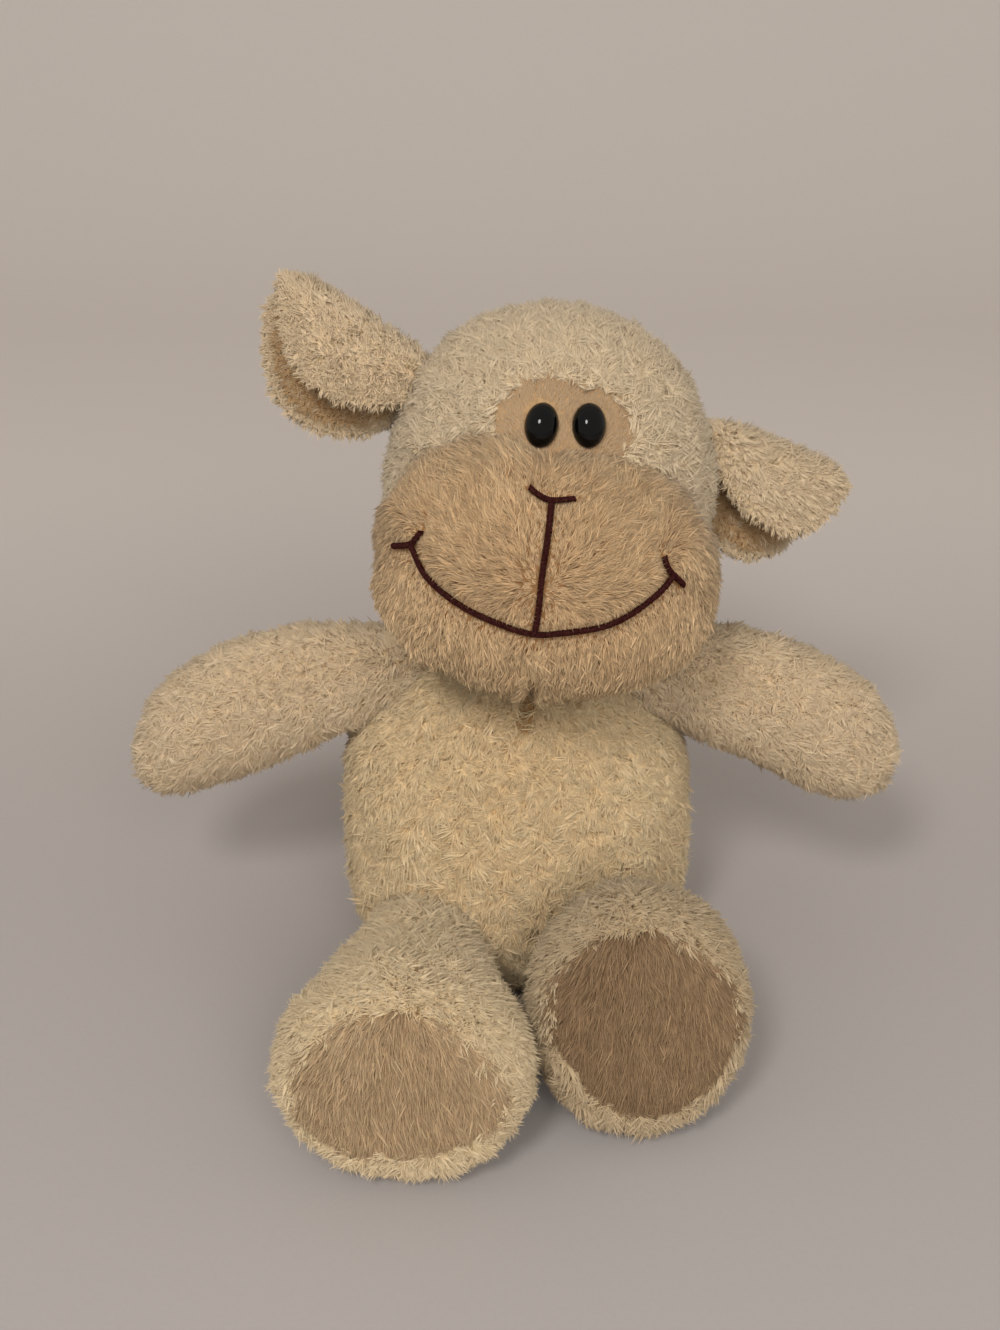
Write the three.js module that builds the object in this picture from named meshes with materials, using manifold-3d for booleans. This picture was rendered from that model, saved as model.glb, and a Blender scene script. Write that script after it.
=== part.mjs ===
// Seated plush sheep: pile covers over stuffing, whose head, limbs, ears and tail turn in their seams.
// Sizes are in millimetres. The origin is the middle of the seat, +Z is up and the face looks along -Y.
// Left and right are the sheep's own. Each table of shares runs evenly from a form's foot to its top.

import * as THREE from 'three';
import { mergeVertices } from 'three/addons/utils/BufferGeometryUtils.js';
import Module from 'manifold-3d';

const wasm = await Module();
wasm.setup();

// Cloth, clearances and fineness

const pileThick = 3.5;
const shortPileThick = 2.6;
const seamGap = 0.3;
const socketGap = 0.15;
const turnGap = 3;
const cutOverrun = 8;
const standDepth = 0.5;
const weldGap = 1e-4;
const blockShare = 3;
const nudgeShare = 0.001;
const quarterTurn = 90;
const halfTurn = 180;
const outside = { sides: 18, rings: 11 };
const inside = { sides: 12, rings: 7 };
const path = { sides: 12, rings: 7 };
const round = { sides: 14, rings: 9 };

// Torso, a barrel that leans back a little above its seat

const torso = {
  wide: 105,
  deep: 84,
  tall: 105,
  fullness: [3.5, 2.9],
  widthShares: [1.1, 1.05, 1.02, 1.01, 1.01, 1, 0.96, 0.9, 0.86],
  depthShares: [1.06, 1.05, 1.04, 1.02, 1, 0.96, 0.9, 0.84, 0.8],
  leanShares: [-0.03, -0.02, -0.01, 0.01, 0.03, 0.06, 0.09, 0.11, 0.12],
  bowShares: [0, 0],
};
const torsoBack = 4;
const beanBagTop = 22;

// Neck and head: the muzzle sits on the skull by shares of the skull's size

const neck = { ball: 15.5, rise: 1.5, aside: 4 };
const headTurnLimit = 25;
const nodDown = 10;
const nodUp = 15;
const headTilt = { back: 12, aside: 6 };
const skull = {
  wide: 92,
  deep: 82,
  tall: 98,
  fullness: [2.15, 2.15],
  widthShares: [0.98, 1, 1.01, 1, 0.99, 0.99, 1],
  depthShares: [1, 1],
  leanShares: [0, 0],
  bowShares: [0, 0],
};
const skullSeat = { lift: 48, fore: 6 };
const muzzle = {
  wide: 92,
  deep: 62,
  tall: 70,
  fullness: [2.3, 2.5],
  widthShares: [0.9, 0.98, 1.02, 1.02, 1, 0.96, 0.9],
  depthShares: [0.92, 1, 1.04, 1.02, 0.98, 0.92, 0.88],
  leanShares: [0, 0],
  bowShares: [0, 0],
};
const muzzleForeShare = 0.4;
const muzzleDropShare = 0.195;
const facePatch = { wide: 38, tall: 26, sides: 16 };
const facePatchRiseShare = 0.5;

// Eyes, each an oval dome with a shaft through the cloth and a washer behind it

const eye = { wide: 9, tall: 12, high: 4.2, sunk: 1.2, between: 12.8 };
const eyeRiseShare = 0.47;
const eyeShaft = { thick: 4, long: 11, sides: 8 };
const eyeWasher = { wide: 10.2, thick: 1.6, bore: 5, seatGap: 0.9, sides: 14 };
const eyeRound = { sides: 12, rings: 7 };

// Embroidery, drawn on the muzzle in shares of its half width and half height

const thread = { thick: 1.8, sides: 5, stepLong: 5.5 };
const noseStrokeShares = [[-0.08, 0.73], [-0.08, 0.4], [-0.08, 0.1], [-0.08, -0.18]];
const noseArmShares = [[-0.2, 0.8], [-0.13, 0.74], [-0.08, 0.73], [-0.02, 0.75], [0.06, 0.79]];
const smileShares = [
  [-0.8, 0.28],
  [-0.64, 0.06],
  [-0.4, -0.1],
  [-0.08, -0.18],
  [0.3, -0.11],
  [0.54, 0.03],
  [0.69, 0.23],
];
const leftTickShares = [[0.63, 0.31], [0.69, 0.23], [0.76, 0.2]];
const rightTickShares = [[-0.85, 0.25], [-0.8, 0.28], [-0.76, 0.36]];

// Ears, leaves folded lengthwise with the fold on top, each on a ball root in the head's seam

const ear = {
  wide: 60,
  deep: 6,
  tall: 54,
  fullness: [2.6, 2.3],
  widthShares: [0.74, 0.9, 1, 1.04, 1.04, 0.96, 0.84],
  depthShares: [1.1, 1, 1, 1, 0.95],
  leanShares: [0, 0],
  bowShares: [0, 0],
};
const earFold = { radius: 6, bend: 80 };
const earLining = { thick: 2, edge: 4 };
const earRoot = { radius: 5, long: 20, sink: 1.5, drop: 9, sides: 12 };
const earFine = { sides: 16, rings: 8 };
const leftEarSeat = { riseShare: 0.21, backShare: 0.02, raise: -9, sweep: 20, openFore: 25 };
const rightEarSeat = { riseShare: 0.4, backShare: 0.06, raise: 28, sweep: 0, openFore: 25 };
const earFlap = 25;

// Tail, a short flat lobe at the foot of the back

const tail = {
  wide: 20,
  deep: 13,
  tall: 34,
  fullness: [2.3, 2.3],
  widthShares: [0.8, 0.9, 1, 1.05, 1],
  depthShares: [0.9, 1, 1, 1, 0.9],
  leanShares: [0, 0],
  bowShares: [0, 0],
};
const tailRoot = { ball: 6, sink: 2, riseShare: -0.5, hang: 35 };
const tailLift = 40;
const tailDrop = 20;

// Arms, one form mirrored, each turning on the gathered cloth of its seam

const arm = {
  wide: 40,
  deep: 33,
  tall: 103,
  fullness: [2.9, 2.7],
  widthShares: [0.68, 0.74, 0.84, 0.95, 1.02, 1.04, 1],
  depthShares: [0.74, 0.8, 0.9, 0.98, 1.02, 1.04, 1],
  leanShares: [0, 0],
  bowShares: [-0.02, 0.03, 0.08, 0.09, 0.05, -0.03, -0.14],
};
const shoulder = { ball: 12.5, sink: 2, riseShare: 0.84 };
const leftArmRest = { droop: 18, fore: 5 };
const rightArmRest = { droop: 17, fore: 5 };
const armLift = 25;
const armDrop = 25;
const armSwing = 25;

// Legs, one form mirrored, each ending in a bent ankle, a broad foot and an oval sole.
// At rest the table and the torso press each one into its own length and breadth.

const leg = {
  wide: 64,
  deep: 63,
  tall: 84,
  fullness: [2.6, 5],
  widthShares: [0.54, 0.56, 0.61, 0.74, 0.92, 1.02, 1],
  depthShares: [0.54, 0.56, 0.6, 0.72, 0.92, 1.02, 1],
  leanShares: [0, 0],
  bowShares: [0, 0],
};
const hip = { ball: 15.5 };
const ankle = { place: 24, long: 22 };
const sole = { wide: 55, tall: 57, deep: 8, sides: 18 };
const leftLegRest = {
  outShare: 0.305,
  foreShare: 0.208,
  up: 21.5,
  toeOut: 2,
  raise: -4,
  ankleTilt: 29,
  broadShare: 0.96,
  deepShare: 1.1,
  longShare: 1.02,
  soleShare: 0.95,
};
const rightLegRest = {
  outShare: 0.267,
  foreShare: 0.405,
  up: 26.5,
  toeOut: 3,
  raise: 5,
  ankleTilt: -4,
  broadShare: 1.08,
  deepShare: 1,
  longShare: 1.05,
  soleShare: 0.85,
};
const legRaise = 30;
const legLower = 12;
const legSpread = 20;

// Colours and finishes

const creamPile = { color: 0xefe3c2, roughness: 0.95, metalness: 0 };
const palePile = { color: 0xf0e2c8, roughness: 0.95, metalness: 0 };
const tanPile = { color: 0xc2a37a, roughness: 0.95, metalness: 0 };
const goldPile = { color: 0xd9b682, roughness: 0.95, metalness: 0 };
const stuffing = { color: 0xf4f4f0, roughness: 1, metalness: 0 };
const beanCloth = { color: 0xd8d8d4, roughness: 0.9, metalness: 0 };
const blackGloss = { color: 0x0b0a0a, roughness: 0.12, metalness: 0 };
const whiteWasher = { color: 0xe9e9e6, roughness: 0.5, metalness: 0 };
const darkThread = { color: 0x3a1a1c, roughness: 0.6, metalness: 0 };

// Soft forms

function shareAt(shares, along) {
  const points = shares.map((share, place) => new THREE.Vector2(place / (shares.length - 1), share));
  return new THREE.SplineCurve(points).getPoint(along).y;
}

// A point of a form's skin. Rise runs from -1 at the foot to 1 at the top; inset goes in through the skin.
function formPoint(form, rise, angle, inset = 0) {
  const fullness = form.fullness[rise < 0 ? 0 : 1];
  const ring = Math.pow(Math.max(0, 1 - Math.pow(Math.abs(rise), fullness)), 1 / fullness);
  const along = (rise + 1) / 2;
  const halfWide = (form.wide * shareAt(form.widthShares, along)) / 2 - inset;
  const halfDeep = (form.deep * shareAt(form.depthShares, along)) / 2 - inset;
  const lean = form.deep * shareAt(form.leanShares, along);
  const bow = form.wide * shareAt(form.bowShares, along);
  return new THREE.Vector3(
    Math.cos(angle) * ring * halfWide + bow,
    Math.sin(angle) * ring * halfDeep + lean,
    rise * (form.tall / 2 - inset),
  );
}

// The frame of a form's skin at a height and a place across its front: x across, y up the skin, z outward.
function frontFrame(form, rise, aside) {
  const angleAt = (height, offset) => -Math.acos(offset / formPoint(form, height, 0).x);
  const nudge = form.wide * nudgeShare;
  const nudgeRise = nudge / (form.tall / 2);
  const point = formPoint(form, rise, angleAt(rise, aside));
  const beside = formPoint(form, rise, angleAt(rise, aside + nudge)).sub(point);
  const above = formPoint(form, rise + nudgeRise, angleAt(rise + nudgeRise, aside)).sub(point);
  const outward = beside.clone().cross(above).normalize();
  const right = new THREE.Vector3(0, 0, 1).cross(outward).normalize();
  const upSkin = outward.clone().cross(right);
  return new THREE.Matrix4().makeBasis(right, upSkin, outward).setPosition(point);
}

function softForm(form, inset, fineness) {
  const geometry = new THREE.SphereGeometry(form.tall / 2, fineness.sides, fineness.rings);
  const place = geometry.attributes.position;
  const around = geometry.attributes.uv;
  for (let corner = 0; corner < place.count; corner += 1) {
    const height = Math.cos(Math.PI * (1 - around.getY(corner)));
    const fullness = form.fullness[height < 0 ? 0 : 1];
    const rise = Math.sign(height) * Math.pow(Math.abs(height), 2 / fullness);
    const point = formPoint(form, rise, 2 * Math.PI * around.getX(corner), inset);
    place.setXYZ(corner, point.x, point.y, point.z);
  }
  return geometry;
}

function reshaped(geometry, move) {
  const place = geometry.attributes.position;
  const point = new THREE.Vector3();
  for (let corner = 0; corner < place.count; corner += 1) {
    move(point.fromBufferAttribute(place, corner));
    place.setXYZ(corner, point.x, point.y, point.z);
  }
  return geometry;
}

// A flat-sided ball. Its socket is drawn out so that the flats clear the ball that turns in it.
function ball(radius) {
  return new THREE.SphereGeometry(radius, round.sides, round.rings);
}

function socketRadius(radius) {
  const flatShare = Math.cos(Math.PI / round.sides) * Math.cos(Math.PI / (2 * round.rings));
  return (radius + socketGap) / flatShare;
}

function box(wide, deep, tall, middle) {
  return new THREE.BoxGeometry(wide, deep, tall).translate(middle.x, middle.y, middle.z);
}

function ovalShape(wide, tall) {
  return new THREE.Shape().absellipse(0, 0, wide / 2, tall / 2, 0, 2 * Math.PI, false, 0);
}

// Solids

function solidOf(geometry) {
  const bare = geometry.clone();
  bare.deleteAttribute('normal');
  bare.deleteAttribute('uv');
  const merged = mergeVertices(bare, weldGap);
  const corners = merged.index.array;
  const kept = [];
  for (let first = 0; first < corners.length; first += 3) {
    const [a, b, c] = [corners[first], corners[first + 1], corners[first + 2]];
    if (a !== b && b !== c && c !== a) {
      kept.push(a, b, c);
    }
  }
  const vertProperties = new Float32Array(merged.attributes.position.array);
  return new wasm.Manifold(new wasm.Mesh({ numProp: 3, vertProperties, triVerts: new Uint32Array(kept) }));
}

function placed(geometry, matrix) {
  return solidOf(geometry.clone().applyMatrix4(matrix));
}

function cutAll(solid, cutters) {
  return cutters.reduce((left, cutter) => left.subtract(cutter), solid);
}

function joinAll(solids) {
  return solids.reduce((whole, solid) => whole.add(solid));
}

function geometryOf(solid) {
  const mesh = solid.getMesh();
  const geometry = new THREE.BufferGeometry();
  geometry.setAttribute('position', new THREE.BufferAttribute(mesh.vertProperties, 3));
  geometry.setIndex(new THREE.BufferAttribute(mesh.triVerts, 1));
  return geometry;
}

// Groups, each at the point where its pieces turn

const sheep = new THREE.Group();
sheep.name = 'plush_sheep';
const across = new THREE.Vector3(1, 0, 0);
const backward = new THREE.Vector3(0, 1, 0);
const upward = new THREE.Vector3(0, 0, 1);

function turnAbout(axis, angle) {
  return new THREE.Matrix4().makeRotationAxis(axis, THREE.MathUtils.degToRad(angle));
}

function shift(x, y, z) {
  return new THREE.Matrix4().makeTranslation(x, y, z);
}

function groupAt(parent, point, turn) {
  const group = new THREE.Group();
  group.position.copy(point);
  group.setRotationFromMatrix(turn);
  parent.add(group);
  sheep.updateMatrixWorld(true);
  return group;
}

function inGroup(group, place = new THREE.Matrix4()) {
  return group.matrixWorld.clone().multiply(place);
}

function pivotOf(group) {
  return new THREE.Vector3().setFromMatrixPosition(group.matrixWorld);
}

function axisOf(group, axis) {
  return axis.clone().transformDirection(group.matrixWorld);
}

// Adds a solid, known in the sheep's own frame, to the group that carries it.
function addPart(group, name, solid, finish) {
  const geometry = geometryOf(solid).applyMatrix4(group.matrixWorld.clone().invert());
  geometry.computeVertexNormals();
  const part = new THREE.Mesh(geometry, new THREE.MeshStandardMaterial(finish));
  part.name = name;
  group.add(part);
}

function ballAt(pivot, radius) {
  return placed(ball(radius), shift(pivot.x, pivot.y, pivot.z));
}

// The corners of a range on two axes
function corners(first, second) {
  return first.flatMap((one) => second.map((other) => [one, other]));
}

// The room that a fixed neighbour takes, seen from a piece that turns about one pivot on two axes in turn.
function neighbourRoom(neighbour, pivot, firstAxis, secondAxis, poses) {
  const there = shift(pivot.x, pivot.y, pivot.z);
  const back = shift(-pivot.x, -pivot.y, -pivot.z);
  return poses.map(([first, second]) => {
    const turn = turnAbout(firstAxis, first).multiply(turnAbout(secondAxis, second)).invert();
    return placed(neighbour, there.clone().multiply(turn).multiply(back));
  });
}

// Places on the torso

const torsoPlace = shift(0, torsoBack, torso.tall / 2 - standDepth);

function onTorso(rise, angle) {
  return formPoint(torso, rise, angle).applyMatrix4(torsoPlace);
}

const torsoTop = onTorso(1, 0);
const neckPivot = new THREE.Vector3(neck.aside, torsoTop.y, torsoTop.z + neck.rise);
const headTurn = turnAbout(backward, headTilt.aside).multiply(turnAbout(across, -headTilt.back));
const headGroup = groupAt(sheep, neckPivot, headTurn);

// A limb group has its +Z along the limb. Side is 1 for the sheep's left and -1 for its right.
function armGroup(side, rest) {
  const seat = onTorso(shoulder.riseShare, side > 0 ? 0 : Math.PI);
  const pivot = new THREE.Vector3(seat.x - side * shoulder.sink, seat.y, seat.z);
  const outward = turnAbout(backward, side * (quarterTurn + rest.droop));
  outward.multiply(turnAbout(upward, side > 0 ? halfTurn : 0));
  return groupAt(sheep, pivot, turnAbout(upward, -side * rest.fore).multiply(outward));
}

function legGroup(side, rest) {
  const pivot = new THREE.Vector3(side * torso.wide * rest.outShare, -torso.deep * rest.foreShare, rest.up);
  const forward = turnAbout(across, quarterTurn - rest.raise);
  return groupAt(sheep, pivot, turnAbout(upward, side * rest.toeOut).multiply(forward));
}

const limbs = {
  armLeft: armGroup(1, leftArmRest),
  armRight: armGroup(-1, rightArmRest),
  legLeft: legGroup(1, leftLegRest),
  legRight: legGroup(-1, rightLegRest),
};

const tailPoint = onTorso(tailRoot.riseShare, Math.PI / 2);
const tailPivot = new THREE.Vector3(tailPoint.x, tailPoint.y - tailRoot.sink, tailPoint.z);
const tailGroup = groupAt(sheep, tailPivot, turnAbout(across, -quarterTurn - tailRoot.hang));

// Torso cover, its stuffing and the bean bag under it

const span = torso.wide * blockShare;
const floorBlock = solidOf(box(span, span, span, new THREE.Vector3(0, 0, -span / 2)));
const torsoSkin = placed(softForm(torso, 0, outside), torsoPlace);
const torsoHollow = placed(softForm(torso, pileThick, inside), torsoPlace);
const torsoFill = placed(softForm(torso, pileThick + seamGap, inside), torsoPlace);
const torsoSockets = [
  ballAt(neckPivot, socketRadius(neck.ball)),
  ballAt(pivotOf(limbs.armLeft), socketRadius(shoulder.ball)),
  ballAt(pivotOf(limbs.armRight), socketRadius(shoulder.ball)),
  ballAt(pivotOf(limbs.legLeft), socketRadius(hip.ball)),
  ballAt(pivotOf(limbs.legRight), socketRadius(hip.ball)),
  ballAt(tailPivot, socketRadius(tailRoot.ball)),
];
const torsoShell = cutAll(torsoSkin.subtract(torsoHollow).subtract(floorBlock), torsoSockets);
const sideSeam = pivotOf(limbs.armLeft).y;

function blockBehind(seam) {
  return solidOf(box(span, span, span, new THREE.Vector3(0, seam + span / 2, 0)));
}

function blockAbove(level) {
  return solidOf(box(span, span, span, new THREE.Vector3(0, 0, level + span / 2)));
}

addPart(sheep, 'torso_cover_front', torsoShell.subtract(blockBehind(sideSeam - seamGap / 2)), creamPile);
addPart(sheep, 'torso_cover_back', torsoShell.intersect(blockBehind(sideSeam + seamGap / 2)), creamPile);
addPart(
  sheep,
  'torso_stuffing',
  cutAll(torsoFill.intersect(blockAbove(beanBagTop + seamGap)), torsoSockets),
  stuffing,
);
addPart(sheep, 'bean_bag', cutAll(torsoFill.subtract(blockAbove(beanBagTop)), torsoSockets), beanCloth);

// What a turning piece must clear: the torso grown by the turning gap, open at the piece's own socket
function torsoAround(pivot, radius) {
  const grown = placed(softForm(torso, -turnGap, path), torsoPlace);
  return geometryOf(grown.subtract(ballAt(pivot, radius)));
}

// Head forms

const skullPlace = inGroup(headGroup, shift(0, -skullSeat.fore, skullSeat.lift));
const muzzleFore = skullSeat.fore + skull.deep * muzzleForeShare;
const muzzleLift = skullSeat.lift - skull.tall * muzzleDropShare;
const muzzlePlace = inGroup(headGroup, shift(0, -muzzleFore, muzzleLift));
const headHollow = joinAll([
  placed(softForm(skull, pileThick, inside), skullPlace),
  placed(softForm(muzzle, shortPileThick, inside), muzzlePlace),
]);
const neckSocket = ballAt(neckPivot, socketRadius(neck.ball));
const shouldersAround = [limbs.armLeft, limbs.armRight].map((group) => {
  return ballAt(pivotOf(group), shoulder.ball + turnGap);
});
const underHead = neighbourRoom(
  geometryOf(joinAll([solidOf(torsoAround(neckPivot, neck.ball)), ...shouldersAround])),
  neckPivot,
  upward,
  across,
  corners([-headTurnLimit, headTurnLimit], [-nodUp, nodDown]),
);
const skullSkin = placed(softForm(skull, 0, outside), skullPlace);
const skullGrown = placed(softForm(skull, -seamGap, outside), skullPlace);
const muzzleSkin = placed(softForm(muzzle, 0, outside), muzzlePlace);

addPart(sheep, 'neck_gather', ballAt(neckPivot, neck.ball), creamPile);

// Eyes on the skull, and the stitching on the muzzle

function eyePlace(side) {
  const offset = (side * eye.between) / 2;
  return skullPlace.clone().multiply(frontFrame(skull, eyeRiseShare, offset));
}

function pinAlong(radius, from, to, sides) {
  const length = to - from;
  return new THREE.CylinderGeometry(radius, radius, length, sides)
    .rotateX(Math.PI / 2)
    .translate(0, 0, from + length / 2);
}

function eyeSolid(place, gap) {
  const high = eye.high + gap;
  const dome = new THREE.SphereGeometry(high, eyeRound.sides, eyeRound.rings);
  dome.scale((eye.wide / 2 + gap) / high, (eye.tall / 2 + gap) / high, 1);
  dome.translate(0, 0, -eye.sunk);
  const behind = box(span, span, span, new THREE.Vector3(0, 0, -eye.sunk - gap - span / 2));
  const shaftEnd = -eye.sunk - eyeShaft.long - gap;
  const shaft = pinAlong(eyeShaft.thick / 2 + gap, shaftEnd, -eye.sunk + eye.high / 2, eyeShaft.sides);
  return placed(dome, place).subtract(placed(behind, place)).add(placed(shaft, place));
}

function washerSolid(place, gap) {
  const front = -pileThick - eyeWasher.seatGap + gap;
  const back = front - eyeWasher.thick - 2 * gap;
  const rim = placed(pinAlong(eyeWasher.wide / 2 + gap, back, front, eyeWasher.sides), place);
  const bore = pinAlong(eyeWasher.bore / 2, back - cutOverrun, front + cutOverrun, eyeShaft.sides);
  return gap > 0 ? rim : rim.subtract(placed(bore, place));
}

const eyePlaces = { left: eyePlace(1), right: eyePlace(-1) };
const eyeRoom = joinAll([eyeSolid(eyePlaces.left, seamGap), eyeSolid(eyePlaces.right, seamGap)]);
const washerRoom = joinAll([washerSolid(eyePlaces.left, seamGap), washerSolid(eyePlaces.right, seamGap)]);

function stitchPath(shares) {
  const points = shares.map(([acrossShare, riseShare]) => {
    const frame = frontFrame(muzzle, riseShare, (acrossShare * muzzle.wide) / 2);
    return new THREE.Vector3().setFromMatrixPosition(frame);
  });
  return new THREE.CatmullRomCurve3(points);
}

function stitch(shares, gap) {
  const line = stitchPath(shares);
  const section = new THREE.Shape();
  for (let side = 0; side < thread.sides; side += 1) {
    const angle = (2 * Math.PI * side) / thread.sides;
    const point = [Math.cos(angle), Math.sin(angle)].map((part) => part * (thread.thick / 2 + gap));
    if (side === 0) {
      section.moveTo(...point);
    } else {
      section.lineTo(...point);
    }
  }
  section.closePath();
  const steps = Math.max(2, Math.round(line.getLength() / thread.stepLong));
  const options = { steps, extrudePath: line, bevelEnabled: false };
  return placed(new THREE.ExtrudeGeometry(section, options), muzzlePlace);
}

function noseStitch(gap) {
  return joinAll([noseStrokeShares, noseArmShares].map((shares) => stitch(shares, gap)));
}

function mouthStitch(gap) {
  return joinAll([smileShares, leftTickShares, rightTickShares].map((shares) => stitch(shares, gap)));
}

// The stroke of the nose stops where the smile's thread runs.
const noseSolid = noseStitch(0).subtract(mouthStitch(seamGap));
const stitchRoom = noseStitch(seamGap).add(mouthStitch(seamGap));

// Ears, with their places on the head

function folded(geometry) {
  const limit = THREE.MathUtils.degToRad(earFold.bend);
  return reshaped(geometry, (point) => {
    const angle = THREE.MathUtils.clamp(point.x / earFold.radius, -limit, limit);
    const flap = point.x - angle * earFold.radius;
    const reach = earFold.radius - point.y;
    const x = Math.sin(angle) * reach + Math.cos(angle) * flap;
    const y = earFold.radius - Math.cos(angle) * reach + Math.sin(Math.abs(angle)) * Math.abs(flap);
    point.set(x, y - earRoot.drop, point.z + ear.tall / 2 - earRoot.radius);
  });
}

function earForm(form, inset, towardOpening) {
  const flat = softForm(form, inset, earFine);
  return folded(flat.translate(0, towardOpening, 0));
}

function earGroup(side, seat) {
  const angle = Math.asin(seat.backShare);
  const point = formPoint(skull, seat.riseShare, side > 0 ? angle : Math.PI - angle, earRoot.sink);
  point.add(new THREE.Vector3(0, -skullSeat.fore, skullSeat.lift));
  const raise = THREE.MathUtils.degToRad(seat.raise);
  const openFore = THREE.MathUtils.degToRad(seat.openFore);
  const along = new THREE.Vector3(side * Math.cos(raise), 0, Math.sin(raise));
  const below = new THREE.Vector3(side * Math.sin(raise), 0, -Math.cos(raise));
  const opening = below.multiplyScalar(Math.cos(openFore)).addScaledVector(backward, -Math.sin(openFore));
  const aside = opening.clone().cross(along);
  const turn = turnAbout(opening, -side * seat.sweep);
  return groupAt(headGroup, point, turn.multiply(new THREE.Matrix4().makeBasis(aside, opening, along)));
}

const ears = { left: earGroup(1, leftEarSeat), right: earGroup(-1, rightEarSeat) };

// The root of an ear is a rolled edge of cloth, which turns in a groove of the head's seam.
function earRoll(group, gap) {
  const flatShare = gap > 0 ? Math.cos(Math.PI / earRoot.sides) : 1;
  const radius = (earRoot.radius + gap) / flatShare;
  const roll = new THREE.CylinderGeometry(radius, radius, earRoot.long + 2 * gap, earRoot.sides);
  return placed(roll, inGroup(group));
}

function addEar(name, group) {
  const headRoom = placed(softForm(skull, -turnGap, path), skullPlace).subtract(earRoll(group, 0));
  const axis = axisOf(group, backward);
  const poses = corners([-earFlap, earFlap], [0]);
  const rooms = neighbourRoom(geometryOf(headRoom), pivotOf(group), axis, axis, poses);
  const lining = {
    ...ear,
    wide: ear.wide - 2 * earLining.edge,
    tall: ear.tall - 2 * earLining.edge,
    deep: earLining.thick,
  };
  const liningSolid = placed(earForm(lining, 0, ear.deep / 2), inGroup(group));
  const liningRoom = placed(earForm(lining, -seamGap, ear.deep / 2), inGroup(group));
  const leaf = placed(earForm(ear, 0, 0), inGroup(group));
  const outer = cutAll(leaf, rooms).add(earRoll(group, 0)).subtract(liningRoom);
  addPart(group, `ear_${name}_outer`, outer, creamPile);
  addPart(group, `ear_${name}_lining`, cutAll(liningSolid, [...rooms, earRoll(group, seamGap)]), tanPile);
}

addEar('left', ears.left);
addEar('right', ears.right);

// Head cover in two halves, the face patch, the muzzle panel and the stuffing

const earGrooves = [earRoll(ears.left, seamGap), earRoll(ears.right, seamGap)];

function patchBlock(gap) {
  const depth = skull.deep;
  const outline = ovalShape(facePatch.wide + 2 * gap, facePatch.tall + 2 * gap);
  const block = new THREE.ExtrudeGeometry(outline, {
    depth,
    bevelEnabled: false,
    curveSegments: facePatch.sides / 2,
  });
  block.rotateX(Math.PI / 2);
  return placed(block.translate(0, 0, (facePatchRiseShare * skull.tall) / 2), skullPlace);
}

function headHalf(side) {
  const middle = side * (span / 2 + seamGap / 2);
  return placed(box(span, span, span, new THREE.Vector3(middle, 0, 0)), inGroup(headGroup));
}

const skullShell = cutAll(
  skullSkin.subtract(headHollow),
  [neckSocket, ...underHead, eyeRoom, washerRoom, ...earGrooves],
);
const coverShell = skullShell.subtract(patchBlock(seamGap));
addPart(headGroup, 'head_cover_left', coverShell.intersect(headHalf(1)), creamPile);
addPart(headGroup, 'head_cover_right', coverShell.intersect(headHalf(-1)), creamPile);
addPart(headGroup, 'face_patch', skullShell.intersect(patchBlock(0)), goldPile);
addPart(
  headGroup,
  'muzzle_panel',
  cutAll(muzzleSkin.subtract(headHollow).subtract(skullGrown), [neckSocket, ...underHead, stitchRoom]),
  tanPile,
);
const headFill = joinAll([
  placed(softForm(skull, pileThick + seamGap, inside), skullPlace),
  placed(softForm(muzzle, shortPileThick + seamGap, inside), muzzlePlace),
]);
addPart(
  headGroup,
  'head_stuffing',
  cutAll(headFill, [neckSocket, ...underHead, eyeRoom, washerRoom, stitchRoom, ...earGrooves]),
  stuffing,
);
addPart(headGroup, 'eye_left', eyeSolid(eyePlaces.left, 0), blackGloss);
addPart(headGroup, 'eye_right', eyeSolid(eyePlaces.right, 0), blackGloss);
addPart(headGroup, 'eye_washer_left', washerSolid(eyePlaces.left, 0), whiteWasher);
addPart(headGroup, 'eye_washer_right', washerSolid(eyePlaces.right, 0), whiteWasher);
addPart(headGroup, 'nose_stitching', noseSolid, darkThread);
addPart(headGroup, 'mouth_stitching', mouthStitch(0), darkThread);

// Arms

const armPlace = shift(0, 0, arm.tall / 2 - shoulder.ball);

function addArm(name, group, side) {
  const pivot = pivotOf(group);
  const rooms = neighbourRoom(
    torsoAround(pivot, shoulder.ball),
    pivot,
    upward,
    backward,
    corners([-armSwing, armSwing], [-side * armLift, side * armDrop]),
  );
  const socket = ballAt(pivot, socketRadius(shoulder.ball));
  const skin = placed(softForm(arm, 0, outside), inGroup(group, armPlace));
  const hollow = placed(softForm(arm, pileThick, inside), inGroup(group, armPlace));
  const fill = placed(softForm(arm, pileThick + seamGap, inside), inGroup(group, armPlace));
  addPart(sheep, `shoulder_${name}_gather`, ballAt(pivot, shoulder.ball), palePile);
  addPart(group, `arm_${name}_cover`, cutAll(skin.subtract(hollow), [socket, ...rooms]), palePile);
  addPart(group, `arm_${name}_stuffing`, cutAll(fill, [socket, ...rooms]), stuffing);
}

addArm('left', limbs.armLeft, 1);
addArm('right', limbs.armRight, -1);

// Legs

// Turns a leg up past its ankle, so that the sole faces partly upward.
function bentAtAnkle(geometry, tilt) {
  const full = THREE.MathUtils.degToRad(tilt);
  return reshaped(geometry, (point) => {
    const past = point.z - ankle.place;
    const bend = full * THREE.MathUtils.clamp(past / ankle.long, 0, 1);
    const y = point.y;
    if (past > 0) {
      point.y = y * Math.cos(bend) + past * Math.sin(bend);
      point.z = ankle.place + past * Math.cos(bend) - y * Math.sin(bend);
    }
  });
}

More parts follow.
